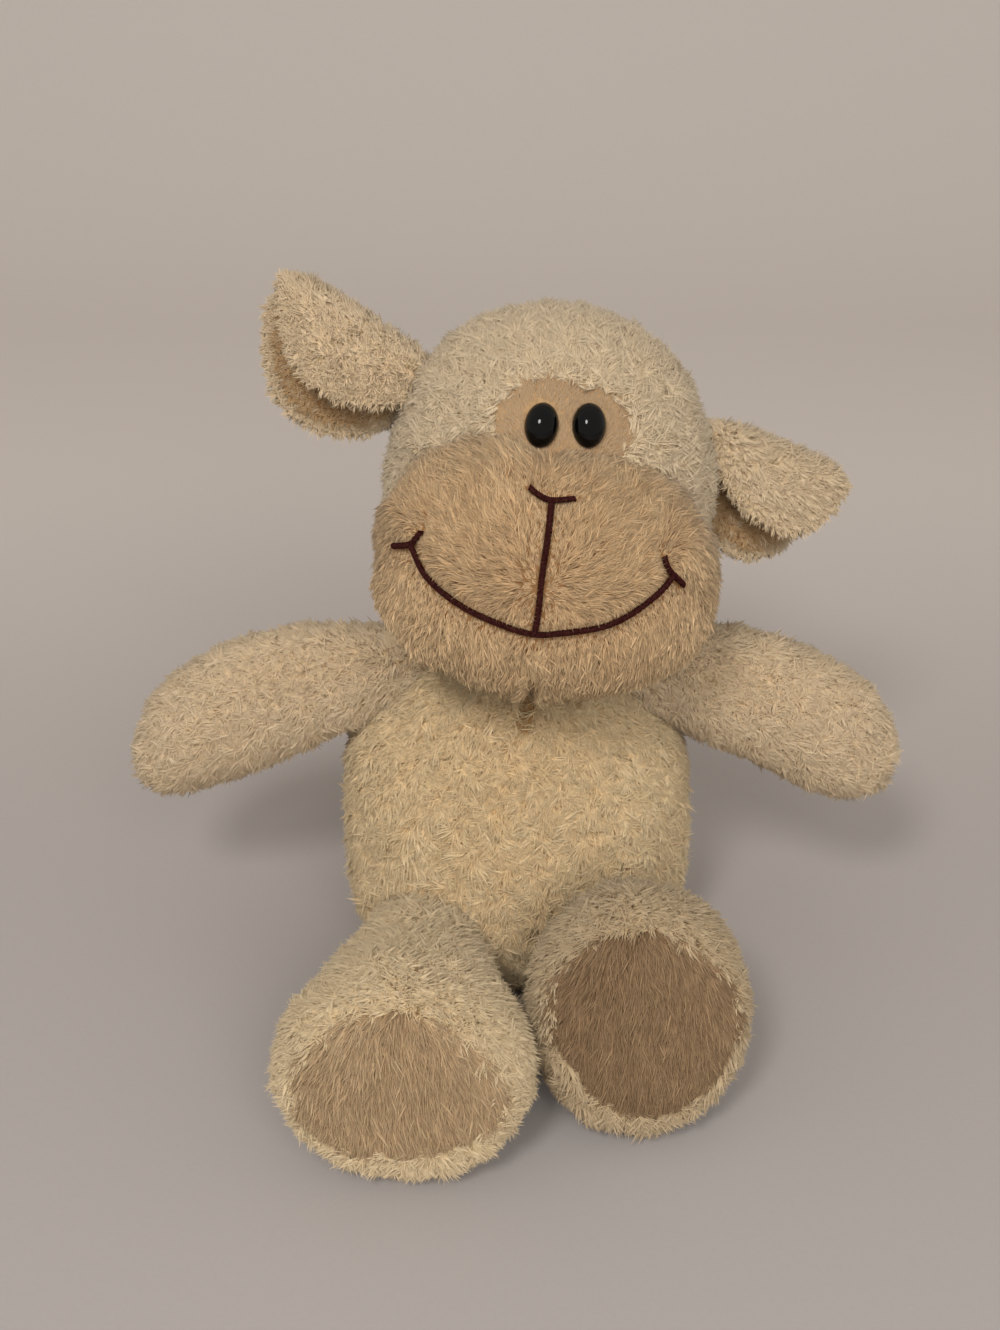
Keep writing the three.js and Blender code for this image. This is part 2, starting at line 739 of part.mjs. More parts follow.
function soleBlock(tip, rest, gap) {
  const outline = ovalShape(sole.wide * rest.broadShare + 2 * gap, sole.tall * rest.soleShare + 2 * gap);
  const block = new THREE.ExtrudeGeometry(outline, {
    depth: leg.wide,
    bevelEnabled: false,
    curveSegments: sole.sides / 2,
  });
  return block.translate(0, 0, tip - sole.deep);
}

function addLeg(name, group, side, rest) {
  const pivot = pivotOf(group);
  const rooms = neighbourRoom(
    torsoAround(pivot, hip.ball),
    pivot,
    upward,
    across,
    corners([0, side * legSpread], [-legRaise, legLower]),
  );
  const socket = ballAt(pivot, socketRadius(hip.ball));
  const pressed = {
    ...leg,
    wide: leg.wide * rest.broadShare,
    deep: leg.deep * rest.deepShare,
    tall: leg.tall * rest.longShare,
  };
  const pressedPlace = shift(0, 0, pressed.tall / 2 - hip.ball);
  const bent = (geometry) => placed(bentAtAnkle(geometry, rest.ankleTilt), inGroup(group));
  const skin = bent(softForm(pressed, 0, outside).applyMatrix4(pressedPlace));
  const hollow = bent(softForm(pressed, pileThick, inside).applyMatrix4(pressedPlace));
  const fill = bent(softForm(pressed, pileThick + seamGap, inside).applyMatrix4(pressedPlace));
  const shell = cutAll(skin.subtract(hollow).subtract(floorBlock), [socket, ...rooms]);
  const tip = pressed.tall - hip.ball;
  const soleRoom = bent(soleBlock(tip, rest, seamGap));
  const soleWhole = bent(soleBlock(tip, rest, 0));
  addPart(sheep, `hip_${name}_gather`, ballAt(pivot, hip.ball), creamPile);
  addPart(group, `leg_${name}_cover`, shell.subtract(soleRoom), creamPile);
  addPart(group, `sole_${name}`, shell.intersect(soleWhole), tanPile);
  addPart(group, `leg_${name}_stuffing`, cutAll(fill, [socket, ...rooms]), stuffing);
}

addLeg('left', limbs.legLeft, 1, leftLegRest);
addLeg('right', limbs.legRight, -1, rightLegRest);

// Tail

const tailRooms = neighbourRoom(
  torsoAround(tailPivot, tailRoot.ball),
  tailPivot,
  across,
  across,
  corners([-tailDrop, tailLift], [0]),
);
const tailPlace = inGroup(tailGroup, shift(0, 0, tail.tall / 2 - tailRoot.ball));
const tailSkin = placed(softForm(tail, 0, inside), tailPlace);
addPart(tailGroup, 'tail', cutAll(tailSkin, tailRooms), creamPile);

export default sheep;
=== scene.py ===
"""A seated plush sheep: padded cloth forms with real pile, satin stitches and glossy eyes, on a plain stage."""

import math
from dataclasses import dataclass

import bpy
import numpy as np
from bpy.props import FloatProperty, FloatVectorProperty, IntProperty, PointerProperty
from mathutils import Matrix, Vector
from mathutils.bvhtree import BVHTree


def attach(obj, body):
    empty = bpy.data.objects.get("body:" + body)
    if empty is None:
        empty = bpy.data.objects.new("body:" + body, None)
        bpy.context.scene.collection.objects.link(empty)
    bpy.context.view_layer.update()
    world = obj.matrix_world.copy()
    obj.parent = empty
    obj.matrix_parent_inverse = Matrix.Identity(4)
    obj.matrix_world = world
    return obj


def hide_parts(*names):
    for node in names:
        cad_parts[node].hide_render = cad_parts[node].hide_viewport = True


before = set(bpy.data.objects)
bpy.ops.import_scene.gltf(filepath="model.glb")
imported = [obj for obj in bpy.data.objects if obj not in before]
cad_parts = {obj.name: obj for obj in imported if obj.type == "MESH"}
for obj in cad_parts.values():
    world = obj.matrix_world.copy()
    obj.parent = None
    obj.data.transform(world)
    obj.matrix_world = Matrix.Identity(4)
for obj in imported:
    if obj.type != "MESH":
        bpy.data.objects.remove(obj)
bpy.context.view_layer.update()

bl_info = {
    "name": "Plush sheep",
    "version": (1, 0, 0),
    "blender": (4, 5, 0),
    "location": "View3D > Sidebar > Sheep",
    "description": "Sews a seated plush sheep piece by piece and sets up its stage",
    "category": "Object",
}

SIDES = ("left", "right")
BLACK = (0, 0, 0)

# Depths of the skins, in metres: the cloth under its pile's outline, the pads, the gathers and the eyes

PILE_ROOM = 0.0024
FLOOR_GAP = 0.0006
PAD_THICK = 0.0016
GATHER_SINK = 0.0026
EYE_SINK = 0.0012

# How far the pile goes on under a limb that moves, and under a neighbour that is only touched

TUCKED = -0.012
COVERED = -0.004

# Strands: the depth of their roots, where they bend, how long the short ones are, and the faces of one mesh

ROOT_SINK = 0.0004
BEND_AT = 0.45
SHORT_SHARE = 0.62
MOST_FACES = 190000

# The bare strip of seam at the throat: its place across the torso, half its width, its foot and its back

SEAM_ASIDE = 0.0025
SEAM_HALF = 0.002
SEAM_FOOT = 0.0895
SEAM_BACK = -0.002

# The eyes: how high they sit on the head, how much higher the left one is, and the points round one

EYE_RISE = 0.47
EYE_SLANT = 0.011
EYE_POINTS = 48

# The muzzle: where its nose and its dart lie across it, the stitches' height, and the bare cloth beside them

NOSE_ASIDE = -0.003
DART_ASIDE = -0.002
STITCH_LIFT = 0.0019
STITCH_ROOM = 0.0022

# Each cloth's dyes, how much of the root's colour its stain has, the stain's strength, how uneven its tufts are, and
# how much of the tip's colour its backing has

CLOTHS = {
    "Cream": ("cream", 0.4, 0.3, 0.13, 0.4),
    "Body": ("body", 0.5, 0.35, 0.2, 0.4),
    "Arm": ("pale", 0.4, 0.3, 0.13, 0.4),
    "Foot": ("foot", 0.4, 0.3, 0.13, 0.4),
    "Shaded foot": ("dim", 0.4, 0.3, 0.13, 0.4),
    "Tan": ("tan", 0.5, 0.45, 0.45, 0),
    "Sole": ("sole", 0.5, 0.4, 0.36, 0.3),
    "Shaded sole": ("shade", 0.5, 0.4, 0.36, 0.3),
    "Patch": ("gold", 0.4, 0.2, 0.1, 0),
    "Lining": ("lining", 0.4, 0.3, 0.13, 0),
}

# Shares of each form's sizes, evenly spaced from its foot to its top

TORSO_SHARES = {
    "fullness": (3.5, 2.9),
    "wide": (1.1, 1.05, 1.02, 1.01, 1.01, 1, 0.96, 0.9, 0.86),
    "deep": (1.06, 1.05, 1.04, 1.02, 1, 0.96, 0.9, 0.84, 0.8),
    "lean": (-0.03, -0.02, -0.01, 0.01, 0.03, 0.06, 0.09, 0.11, 0.12),
}
SKULL_SHARES = {
    "fullness": (2.15, 2.15),
    "wide": (0.98, 1, 1.01, 1, 0.99, 0.99, 1),
}
MUZZLE_SHARES = {
    "fullness": (2.3, 2.5),
    "wide": (0.9, 0.98, 1.02, 1.02, 1, 0.96, 0.9),
    "deep": (0.92, 1, 1.04, 1.02, 0.98, 0.92, 0.88),
}
EAR_SHARES = {
    "fullness": (2.6, 2.3),
    "wide": (0.74, 0.9, 1, 1.04, 1.04, 0.96, 0.84),
    "deep": (1.1, 1, 1, 1, 0.95),
}
TAIL_SHARES = {
    "fullness": (2.3, 2.3),
    "wide": (0.8, 0.9, 1, 1.05, 1),
    "deep": (0.9, 1, 1, 1, 0.9),
}
ARM_SHARES = {
    "fullness": (2.9, 2.7),
    "wide": (0.68, 0.74, 0.84, 0.95, 1.02, 1.04, 1),
    "deep": (0.74, 0.8, 0.9, 0.98, 1.02, 1.04, 1),
    "bow": (-0.02, 0.03, 0.08, 0.09, 0.05, -0.03, -0.14),
}
LEG_SHARES = {
    "fullness": (2.6, 5),
    "wide": (0.54, 0.56, 0.61, 0.74, 0.92, 1.02, 1),
    "deep": (0.54, 0.56, 0.6, 0.72, 0.92, 1.02, 1),
}

# Embroidery on the muzzle, in shares of its half width and half height

NOSE_STROKE = ((-0.057, 0.707), (-0.06, 0.633), (-0.068, 0.408), (-0.076, 0.16), (-0.08, -0.024), (-0.085, -0.202))
NOSE_ARMS = ((-0.192, 0.767), (-0.139, 0.729), (-0.073, 0.703), (0.0, 0.71), (0.067, 0.722))
SMILE = (
    (-0.796, 0.273), (-0.686, 0.071), (-0.473, -0.09), (-0.232, -0.176), (-0.082, -0.205), (0.05, -0.185),
    (0.328, -0.088), (0.555, 0.108), (0.657, 0.252),
)
RIGHT_TICK = ((-0.888, 0.22), (-0.797, 0.28), (-0.769, 0.332), (-0.74, 0.39))
LEFT_TICK = ((0.591, 0.373), (0.615, 0.299), (0.653, 0.248), (0.719, 0.178))

# An eye's dome from its front to its back, in shares of its half width and of its height

EYE_OUTLINE = (
    (0.2, 0.985), (0.4, 0.925), (0.58, 0.83), (0.74, 0.69), (0.87, 0.5), (0.96, 0.28), (1.0, 0.06), (1.0, -0.1),
    (0.96, -0.32),
)

# Reach of each sole from the middle of the foot's front, in degrees, from the left side round over the top

SOLE_REACHES = {
    "left": (48, 45, 44, 46, 46, 48, 46, 43, 45, 48, 49, 50),
    "right": (48, 48, 51, 55, 53, 50, 47, 45, 35, 29, 30, 37),
}

# How each leg and ear lies at rest, in degrees and in shares

LEG_RESTS = {
    "left": {"side": 1, "out": 0.305, "fore": 0.208, "up": 0.0215, "toe_out": 2, "raise": -4, "tilt": 29,
             "broad": 0.96, "deep": 1.1, "long": 1.02, "sole": 0.95},
    "right": {"side": -1, "out": 0.267, "fore": 0.405, "up": 0.0265, "toe_out": 3, "raise": 5, "tilt": -4,
              "broad": 1.08, "deep": 1.0, "long": 1.05, "sole": 0.85},
}
EAR_RESTS = {
    "left": {"side": 1, "rise": 0.21, "back": 0.02, "raise": -9, "sweep": 20, "open": 25},
    "right": {"side": -1, "rise": 0.4, "back": 0.06, "raise": 28, "sweep": 0, "open": 25},
}
ARM_RESTS = {
    "left": {"side": 1, "droop": 18, "fore": 5},
    "right": {"side": -1, "droop": 17, "fore": 5},
}


def length_size(name, text, value):
    return FloatProperty(name=name, description=text, default=value, min=0, unit="LENGTH", subtype="DISTANCE")


def linear(code):
    """The linear colour of a six-digit sRGB code."""
    parts = [int(code[place:place + 2], 16) / 255 for place in (0, 2, 4)]
    return tuple(part / 12.92 if part <= 0.04045 else ((part + 0.055) / 1.055) ** 2.4 for part in parts)


def dye(name, text, code):
    return FloatVectorProperty(
        name=name, description=text, default=linear(code), min=0, max=1, size=3, subtype="COLOR"
    )


class SheepSizes(bpy.types.PropertyGroup):
    """Sizes of the sewn forms, measured over the pile."""

    torso_wide: length_size("Torso width", "Width of the torso", 0.105)
    torso_deep: length_size("Torso depth", "Depth of the torso", 0.084)
    torso_tall: length_size("Torso height", "Height of the torso", 0.105)
    torso_back: length_size("Torso setback", "How far the torso's middle lies behind the origin", 0.004)
    seat_flat: length_size("Seat flat", "How deep the seat is pressed flat", 0.0005)
    neck_rise: length_size("Neck rise", "Height of the neck's pivot over the torso", 0.0015)
    neck_aside: length_size("Neck offset", "How far the neck sits towards the left side", 0.004)
    neck_ball: length_size("Neck gather", "Radius of the gathered cloth in the neck", 0.0155)
    skull_wide: length_size("Head width", "Width of the head", 0.092)
    skull_deep: length_size("Head depth", "Depth of the head", 0.082)
    skull_tall: length_size("Head height", "Height of the head", 0.098)
    skull_lift: length_size("Head lift", "Height of the head's middle over the neck", 0.048)
    skull_fore: length_size("Head reach", "How far the head's middle lies before the neck", 0.006)
    muzzle_wide: length_size("Muzzle width", "Width of the muzzle", 0.092)
    muzzle_deep: length_size("Muzzle depth", "Depth of the muzzle's form", 0.062)
    muzzle_tall: length_size("Muzzle height", "Height of the muzzle", 0.07)
    patch_wide: length_size("Face patch width", "Width of the patch round the eyes", 0.037)
    patch_tall: length_size("Face patch height", "Height of the patch round the eyes", 0.022)
    patch_lift: length_size("Face patch lift", "Height of the patch's middle over the head's", 0.0222)
    eye_wide: length_size("Eye width", "Width of an eye's dome", 0.009)
    eye_tall: length_size("Eye height", "Height of an eye's dome", 0.012)
    eye_high: length_size("Eye dome", "How far an eye's dome stands out", 0.0042)
    eye_between: length_size("Eye spacing", "Distance between the eyes' middles", 0.0128)
    ear_wide: length_size("Ear width", "Width of an ear laid flat", 0.06)
    ear_thick: length_size("Ear thickness", "Thickness of an ear", 0.006)
    ear_tall: length_size("Ear length", "Length of an ear", 0.054)
    ear_fold: length_size("Ear fold", "Radius of an ear's fold", 0.006)
    ear_slip: length_size("Ear slip", "How far an ear's fold lies before the middle of its leaf", 0.003)
    arm_wide: length_size("Arm width", "Width of an arm", 0.04)
    arm_deep: length_size("Arm depth", "Depth of an arm", 0.033)
    arm_tall: length_size("Arm length", "Length of an arm with its root", 0.103)
    shoulder_ball: length_size("Shoulder gather", "Radius of the gathered cloth in a shoulder", 0.0125)
    leg_wide: length_size("Leg width", "Width of a foot", 0.064)
    leg_deep: length_size("Leg depth", "Height of a foot", 0.063)
    leg_tall: length_size("Leg length", "Length of a leg with its root", 0.084)
    hip_ball: length_size("Hip gather", "Radius of the gathered cloth in a hip", 0.0155)
    tail_wide: length_size("Tail width", "Width of the tail", 0.02)
    tail_deep: length_size("Tail thickness", "Thickness of the tail", 0.013)
    tail_tall: length_size("Tail length", "Length of the tail with its root", 0.034)
    thread_wide: length_size("Stitch width", "Width of a row of satin stitches", 0.0013)
    stitch_step: length_size("Stitch spacing", "Distance from one satin stitch to the next", 0.00034)


class SheepPile(bpy.types.PropertyGroup):
    """How long, dense and unruly the pile is."""

    cream_long: length_size("Cream pile", "Length of the cream pile", 0.0054)
    arm_long: length_size("Arm pile", "Length of the pile on the arms", 0.005)
    ear_long: length_size("Ear pile", "Length of the pile on the ears", 0.0052)
    tan_long: length_size("Tan pile", "Length of the muzzle's pile", 0.005)
    sole_long: length_size("Sole pile", "Length of the soles' pile", 0.0076)
    lining_long: length_size("Lining pile", "Length of the ear linings' pile", 0.0026)
    patch_long: length_size("Patch pile", "Length of the face patch's pile", 0.0022)
    strand_wide: length_size("Strand width", "Width of a strand at its thickest", 0.00024)
    tuft_radius: length_size("Tuft radius", "Radius of a tuft of strands at its root", 0.00062)
    per_tuft: IntProperty(name="Strands per tuft", description="Strands in each tuft", default=6, min=1, max=40)
    density: FloatProperty(
        name="Tufts per square millimetre", description="How close the tufts stand", default=1.35, min=0.01, max=4
    )
    seed: IntProperty(name="Seed", description="Start of the pile's random numbers", default=7, min=0)


class SheepDyes(bpy.types.PropertyGroup):
    """Colours of the cloths, the thread and the eyes."""

    # Each pile's root dye is darker than its tip dye, as painted shade deep in the pile
    cream_tip: dye("Cream tips", "Tips of the head's cream pile", "dec8a8")
    cream_root: dye("Cream roots", "Roots of the head's cream pile", "dcc39b")
    body_tip: dye("Body tips", "Tips of the torso's yellower pile", "e9d1a8")
    body_root: dye("Body roots", "Roots of the torso's pile", "d6b07c")
    pale_tip: dye("Arm tips", "Tips of the arms' pile", "e2caa8")
    pale_root: dye("Arm roots", "Roots of the arms' pile", "d9ba8f")
    foot_tip: dye("Foot tips", "Tips of the legs' pile", "e3cba5")
    foot_root: dye("Foot roots", "Roots of the legs' pile", "dfc294")
    dim_tip: dye("Shaded leg tips", "Tips of the left leg's pile, which lies in the shade", "cbb492")
    dim_root: dye("Shaded leg roots", "Roots of the left leg's pile", "bfa279")
    tan_tip: dye("Tan tips", "Tips of the muzzle's pile", "dabb91")
    tan_root: dye("Tan roots", "Roots of the muzzle's pile", "966f49")
    sole_tip: dye("Sole tips", "Tips of the soles' pile", "caae89")
    sole_root: dye("Sole roots", "Roots of the soles' pile", "9b7b57")
    shade_tip: dye("Shaded sole tips", "Tips of the left sole's pile, which lies away from the light", "a68a69")
    shade_root: dye("Shaded sole roots", "Roots of the left sole's pile", "77593d")
    gold_tip: dye("Patch tips", "Tips of the face patch's pile", "cbaf8c")
    gold_root: dye("Patch roots", "Roots of the face patch's pile", "bb976e")
    seam: dye("Throat seam", "Bare cloth of the seam at the throat", "b08a58")
    lining_tip: dye("Lining tips", "Tips of the ear linings' pile", "cfab7e")
    lining_root: dye("Lining roots", "Roots of the ear linings' pile", "a9855a")
    thread: dye("Thread", "Dark brown embroidery thread", "3b1614")
    eye: dye("Eyes", "Black plastic of the eyes", "070606")
    washer: dye("Washers", "Plastic of the eye washers", "e4e2dc")


class SheepStage(bpy.types.PropertyGroup):
    """Camera, floor and lamps."""

    aim: FloatVectorProperty(
        name="Aim", description="Point that the camera looks at", default=(-0.005, 0.0, 0.103), size=3,
        subtype="TRANSLATION", unit="LENGTH",
    )
    distance: length_size("Camera distance", "Distance from the camera to its aim", 0.47)
    elevation: FloatProperty(
        name="Camera elevation", description="Angle from which the camera looks down",
        default=math.radians(31), subtype="ANGLE", unit="ROTATION",
    )
    lens: FloatProperty(name="Lens", description="Focal length on a 36 mm sensor", default=43.3, min=1)
    key_power: FloatProperty(name="Key light", description="Power of the main lamp in watts", default=5.8, min=0)
    fill_power: FloatProperty(name="Fill light", description="Power of the fill lamp in watts", default=8.2, min=0)
    floor_dye: dye("Floor", "Colour of the floor", "b4aca7")
    wall_dye: dye("Backdrop", "Colour of the backdrop behind the floor", "d4cac2")
    world_dye: dye("Surroundings", "Colour of the light from all round", "fffcf8")
    world_level: FloatProperty(name="Surroundings level", description="Strength of that light", default=0.52, min=0)


def settings():
    return bpy.context.scene


# Places and turns


def turn(axis, degrees):
    return Matrix.Rotation(math.radians(degrees), 4, axis)


def shift(x, y, z):
    return Matrix.Translation((x, y, z))


def points_through(matrix, points):
    grid = np.array(matrix)
    return points @ grid[:3, :3].T + grid[:3, 3]


def unit(vectors):
    return vectors / np.maximum(np.linalg.norm(vectors, axis=-1, keepdims=True), 1e-12)


def columns(*parts):
    """Rows of points or corners from their separate columns."""
    return np.stack(parts, axis=-1)


def spline(before, here, there, after, t):
    """The smooth curve from here to there, coming from before and going on to after."""
    start, end = (there - before) / 2, (after - here) / 2
    cubic, square = 2 * here - 2 * there + start + end, 3 * there - 3 * here - 2 * start - end
    return cubic * t**3 + square * t**2 + start * t + here


def tube_faces(rings, sides):
    """Triangles that join rings of points to a tube; the two points after the rings close its ends."""
    here = np.arange(sides)
    after = (here + 1) % sides
    faces = []
    for low in range(0, (rings - 1) * sides, sides):
        high = low + sides
        faces += [columns(low + here, low + after, high + after), columns(low + here, high + after, high + here)]
    high, foot = (rings - 1) * sides, rings * sides
    faces.append(columns(np.full(sides, foot), after, here))
    faces.append(columns(np.full(sides, foot + 1), high + here, high + after))
    return np.concatenate(faces)


def ripple(points, size, seed):
    """A smooth random field between about -1 and 1 whose waves are about one size long."""
    rng = np.random.default_rng(seed)
    total = np.zeros(len(points))
    for _ in range(7):
        across, along = unit(rng.normal(size=(2, 3)))
        pitch = 2 * math.pi / (size * rng.uniform(0.7, 1.5))
        bend = 0.9 * np.sin(points @ along * pitch * 0.6 + rng.uniform(0, 6.3))
        total += np.sin(points @ across * pitch + rng.uniform(0, 6.3) + bend)
    return total / 4


def share_past(values, start, run):
    """0 up to the start, rising to 1 over the run after it."""
    return np.clip((values - start) / run, 0, 1)


def between(first, second, angle):
    """The direction at an angle from the first towards the second, which stands square to it."""
    return first * np.cos(angle) + second * np.sin(angle)


# Soft forms: width, depth and height with shares that swell and taper them


class Form:
    """A padded form whose sections are ovals stacked from its foot to its top."""

    def __init__(self, wide, deep, tall, shares):
        self.wide = wide
        self.deep = deep
        self.tall = tall
        self.shares = shares

    def share(self, name, along):
        table = np.array(self.shares.get(name, (0, 0) if name in ("lean", "bow") else (1, 1)), dtype=float)
        last = len(table) - 1
        spot = np.clip(along, 0, 1) * last
        first = np.minimum(spot.astype(int), last - 1)
        before, after = table[np.maximum(first - 1, 0)], table[np.minimum(first + 2, last)]
        return spline(before, table[first], table[first + 1], after, spot - first)

    def ring(self, rise, least=0):
        """How wide a section is, as a share of the fullest one."""
        fullness = np.where(rise < 0, *self.shares["fullness"])
        return np.maximum(least, 1 - np.abs(rise) ** fullness) ** (1 / fullness)

    def skin(self, rise, angle, inset=0.0):
        """Points of the skin, for a rise from -1 to 1 and an angle about the form's axis."""
        rise = np.asarray(rise, dtype=float)
        ring = self.ring(rise)
        along = (rise + 1) / 2
        half_wide = self.wide * self.share("wide", along) / 2 - inset
        half_deep = self.deep * self.share("deep", along) / 2 - inset
        return columns(
            np.cos(angle) * ring * half_wide + self.wide * self.share("bow", along),
            np.sin(angle) * ring * half_deep + self.deep * self.share("lean", along),
            rise * (self.tall / 2 - inset),
        )

    def front_frame(self, rise, aside):
        """Where a piece sits on the form's front: x across, y up the skin, z outward."""

        def spot(height, offset):
            return self.skin(height, -math.acos(offset / self.skin(height, 0.0)[0]))

        nudge = self.wide / 1000
        point = spot(rise, aside)
        above = spot(rise + nudge / (self.tall / 2), aside) - point
        outward = unit(np.cross(spot(rise, aside + nudge) - point, above))
        right = unit(np.cross((0, 0, 1), outward))
        grid = np.eye(4)
        grid[:3] = columns(right, np.cross(outward, right), outward, point)
        return Matrix(grid.tolist())

    def holds(self, place, points, margin=0.0):
        """Which points lie inside the form, once it is grown by the margin."""
        local = points_through(place.inverted(), points)
        half = self.tall / 2 + margin
        rise = np.clip(local[:, 2] / half, -1, 1)
        ring = self.ring(rise, 1e-9)
        along = (rise + 1) / 2
        half_wide = (self.wide * self.share("wide", along) / 2 + margin) * ring
        half_deep = (self.deep * self.share("deep", along) / 2 + margin) * ring
        x = (local[:, 0] - self.wide * self.share("bow", along)) / half_wide
        y = (local[:, 1] - self.deep * self.share("lean", along)) / half_deep
        return (np.abs(local[:, 2]) < half) & (x * x + y * y < 1)

    def surface(self, inset, around, up):
        """A closed skin as a grid of rings between two poles, laid out before any bend or fold."""
        tops = np.cos(np.pi * (np.arange(1, up) / up))[::-1]
        rises = np.sign(tops) * np.abs(tops) ** (2 / np.where(tops < 0, *self.shares["fullness"]))
        rise_grid, angle_grid = np.meshgrid(rises, 2 * np.pi * np.arange(around) / around, indexing="ij")
        rings = self.skin(rise_grid.ravel(), angle_grid.ravel(), inset)
        ends = self.skin(np.array([-1.0, 1.0]), np.zeros(2), inset)
        return Surface(np.concatenate([rings, ends]), tube_faces(up - 1, around))


class Surface:
    """A triangle skin. Flat holds each point's place before the skin was bent, folded or moved."""

    def __init__(self, points, faces, flat=None):
        self.points = points
        self.faces = faces
        self.flat = points.copy() if flat is None else flat

    def moved(self, move):
        return Surface(move(self.points), self.faces, self.flat)

    def through(self, matrix):
        return self.moved(lambda points: points_through(matrix, points))

    def corner_crosses(self):
        a, b, c = (self.points[self.faces[:, k]] for k in range(3))
        return np.cross(b - a, c - a)

    def normals(self):
        crosses = self.corner_crosses()
        total = np.zeros_like(self.points)
        for k in range(3):
            np.add.at(total, self.faces[:, k], crosses)
        return unit(total)

    def puffed(self, depth, size, seed):
        """The skin with soft lumps, as stuffing gives it."""
        lumps = depth * ripple(self.points, size, seed)[:, None]
        return Surface(self.points + self.normals() * lumps, self.faces, self.flat)

    def pressed(self, floor):
        """The skin pressed flat on the surface that it rests on."""
        points = self.points.copy()
        points[:, 2] = np.maximum(points[:, 2], floor)
        return Surface(points, self.faces, self.flat)

    def patch(self, wanted, thick):
        """A closed pad cut out of the skin where wanted is true, with its back a little deeper."""
        chosen = self.faces[wanted[self.faces].all(axis=1)]
        used = np.unique(chosen)
        order = np.full(len(self.points), -1)
        order[used] = np.arange(len(used))
        faces = order[chosen]
        front = self.points[used]
        back = front - self.normals()[used] * thick
        edges = np.concatenate([faces[:, [0, 1]], faces[:, [1, 2]], faces[:, [2, 0]]])
        known = {tuple(edge) for edge in edges}
        rim = np.array([edge for edge in known if (edge[1], edge[0]) not in known])
        count = len(used)
        end, start = rim.T
        walls = columns(start, end, end + count), columns(start, end + count, start + count)
        closed = np.concatenate([faces, faces[:, ::-1] + count, *walls])
        flat = np.concatenate([self.flat[used], self.flat[used]])
        return Surface(front, faces, self.flat[used]), Surface(np.concatenate([front, back]), closed, flat)


# Where each form of the sheep lies at rest


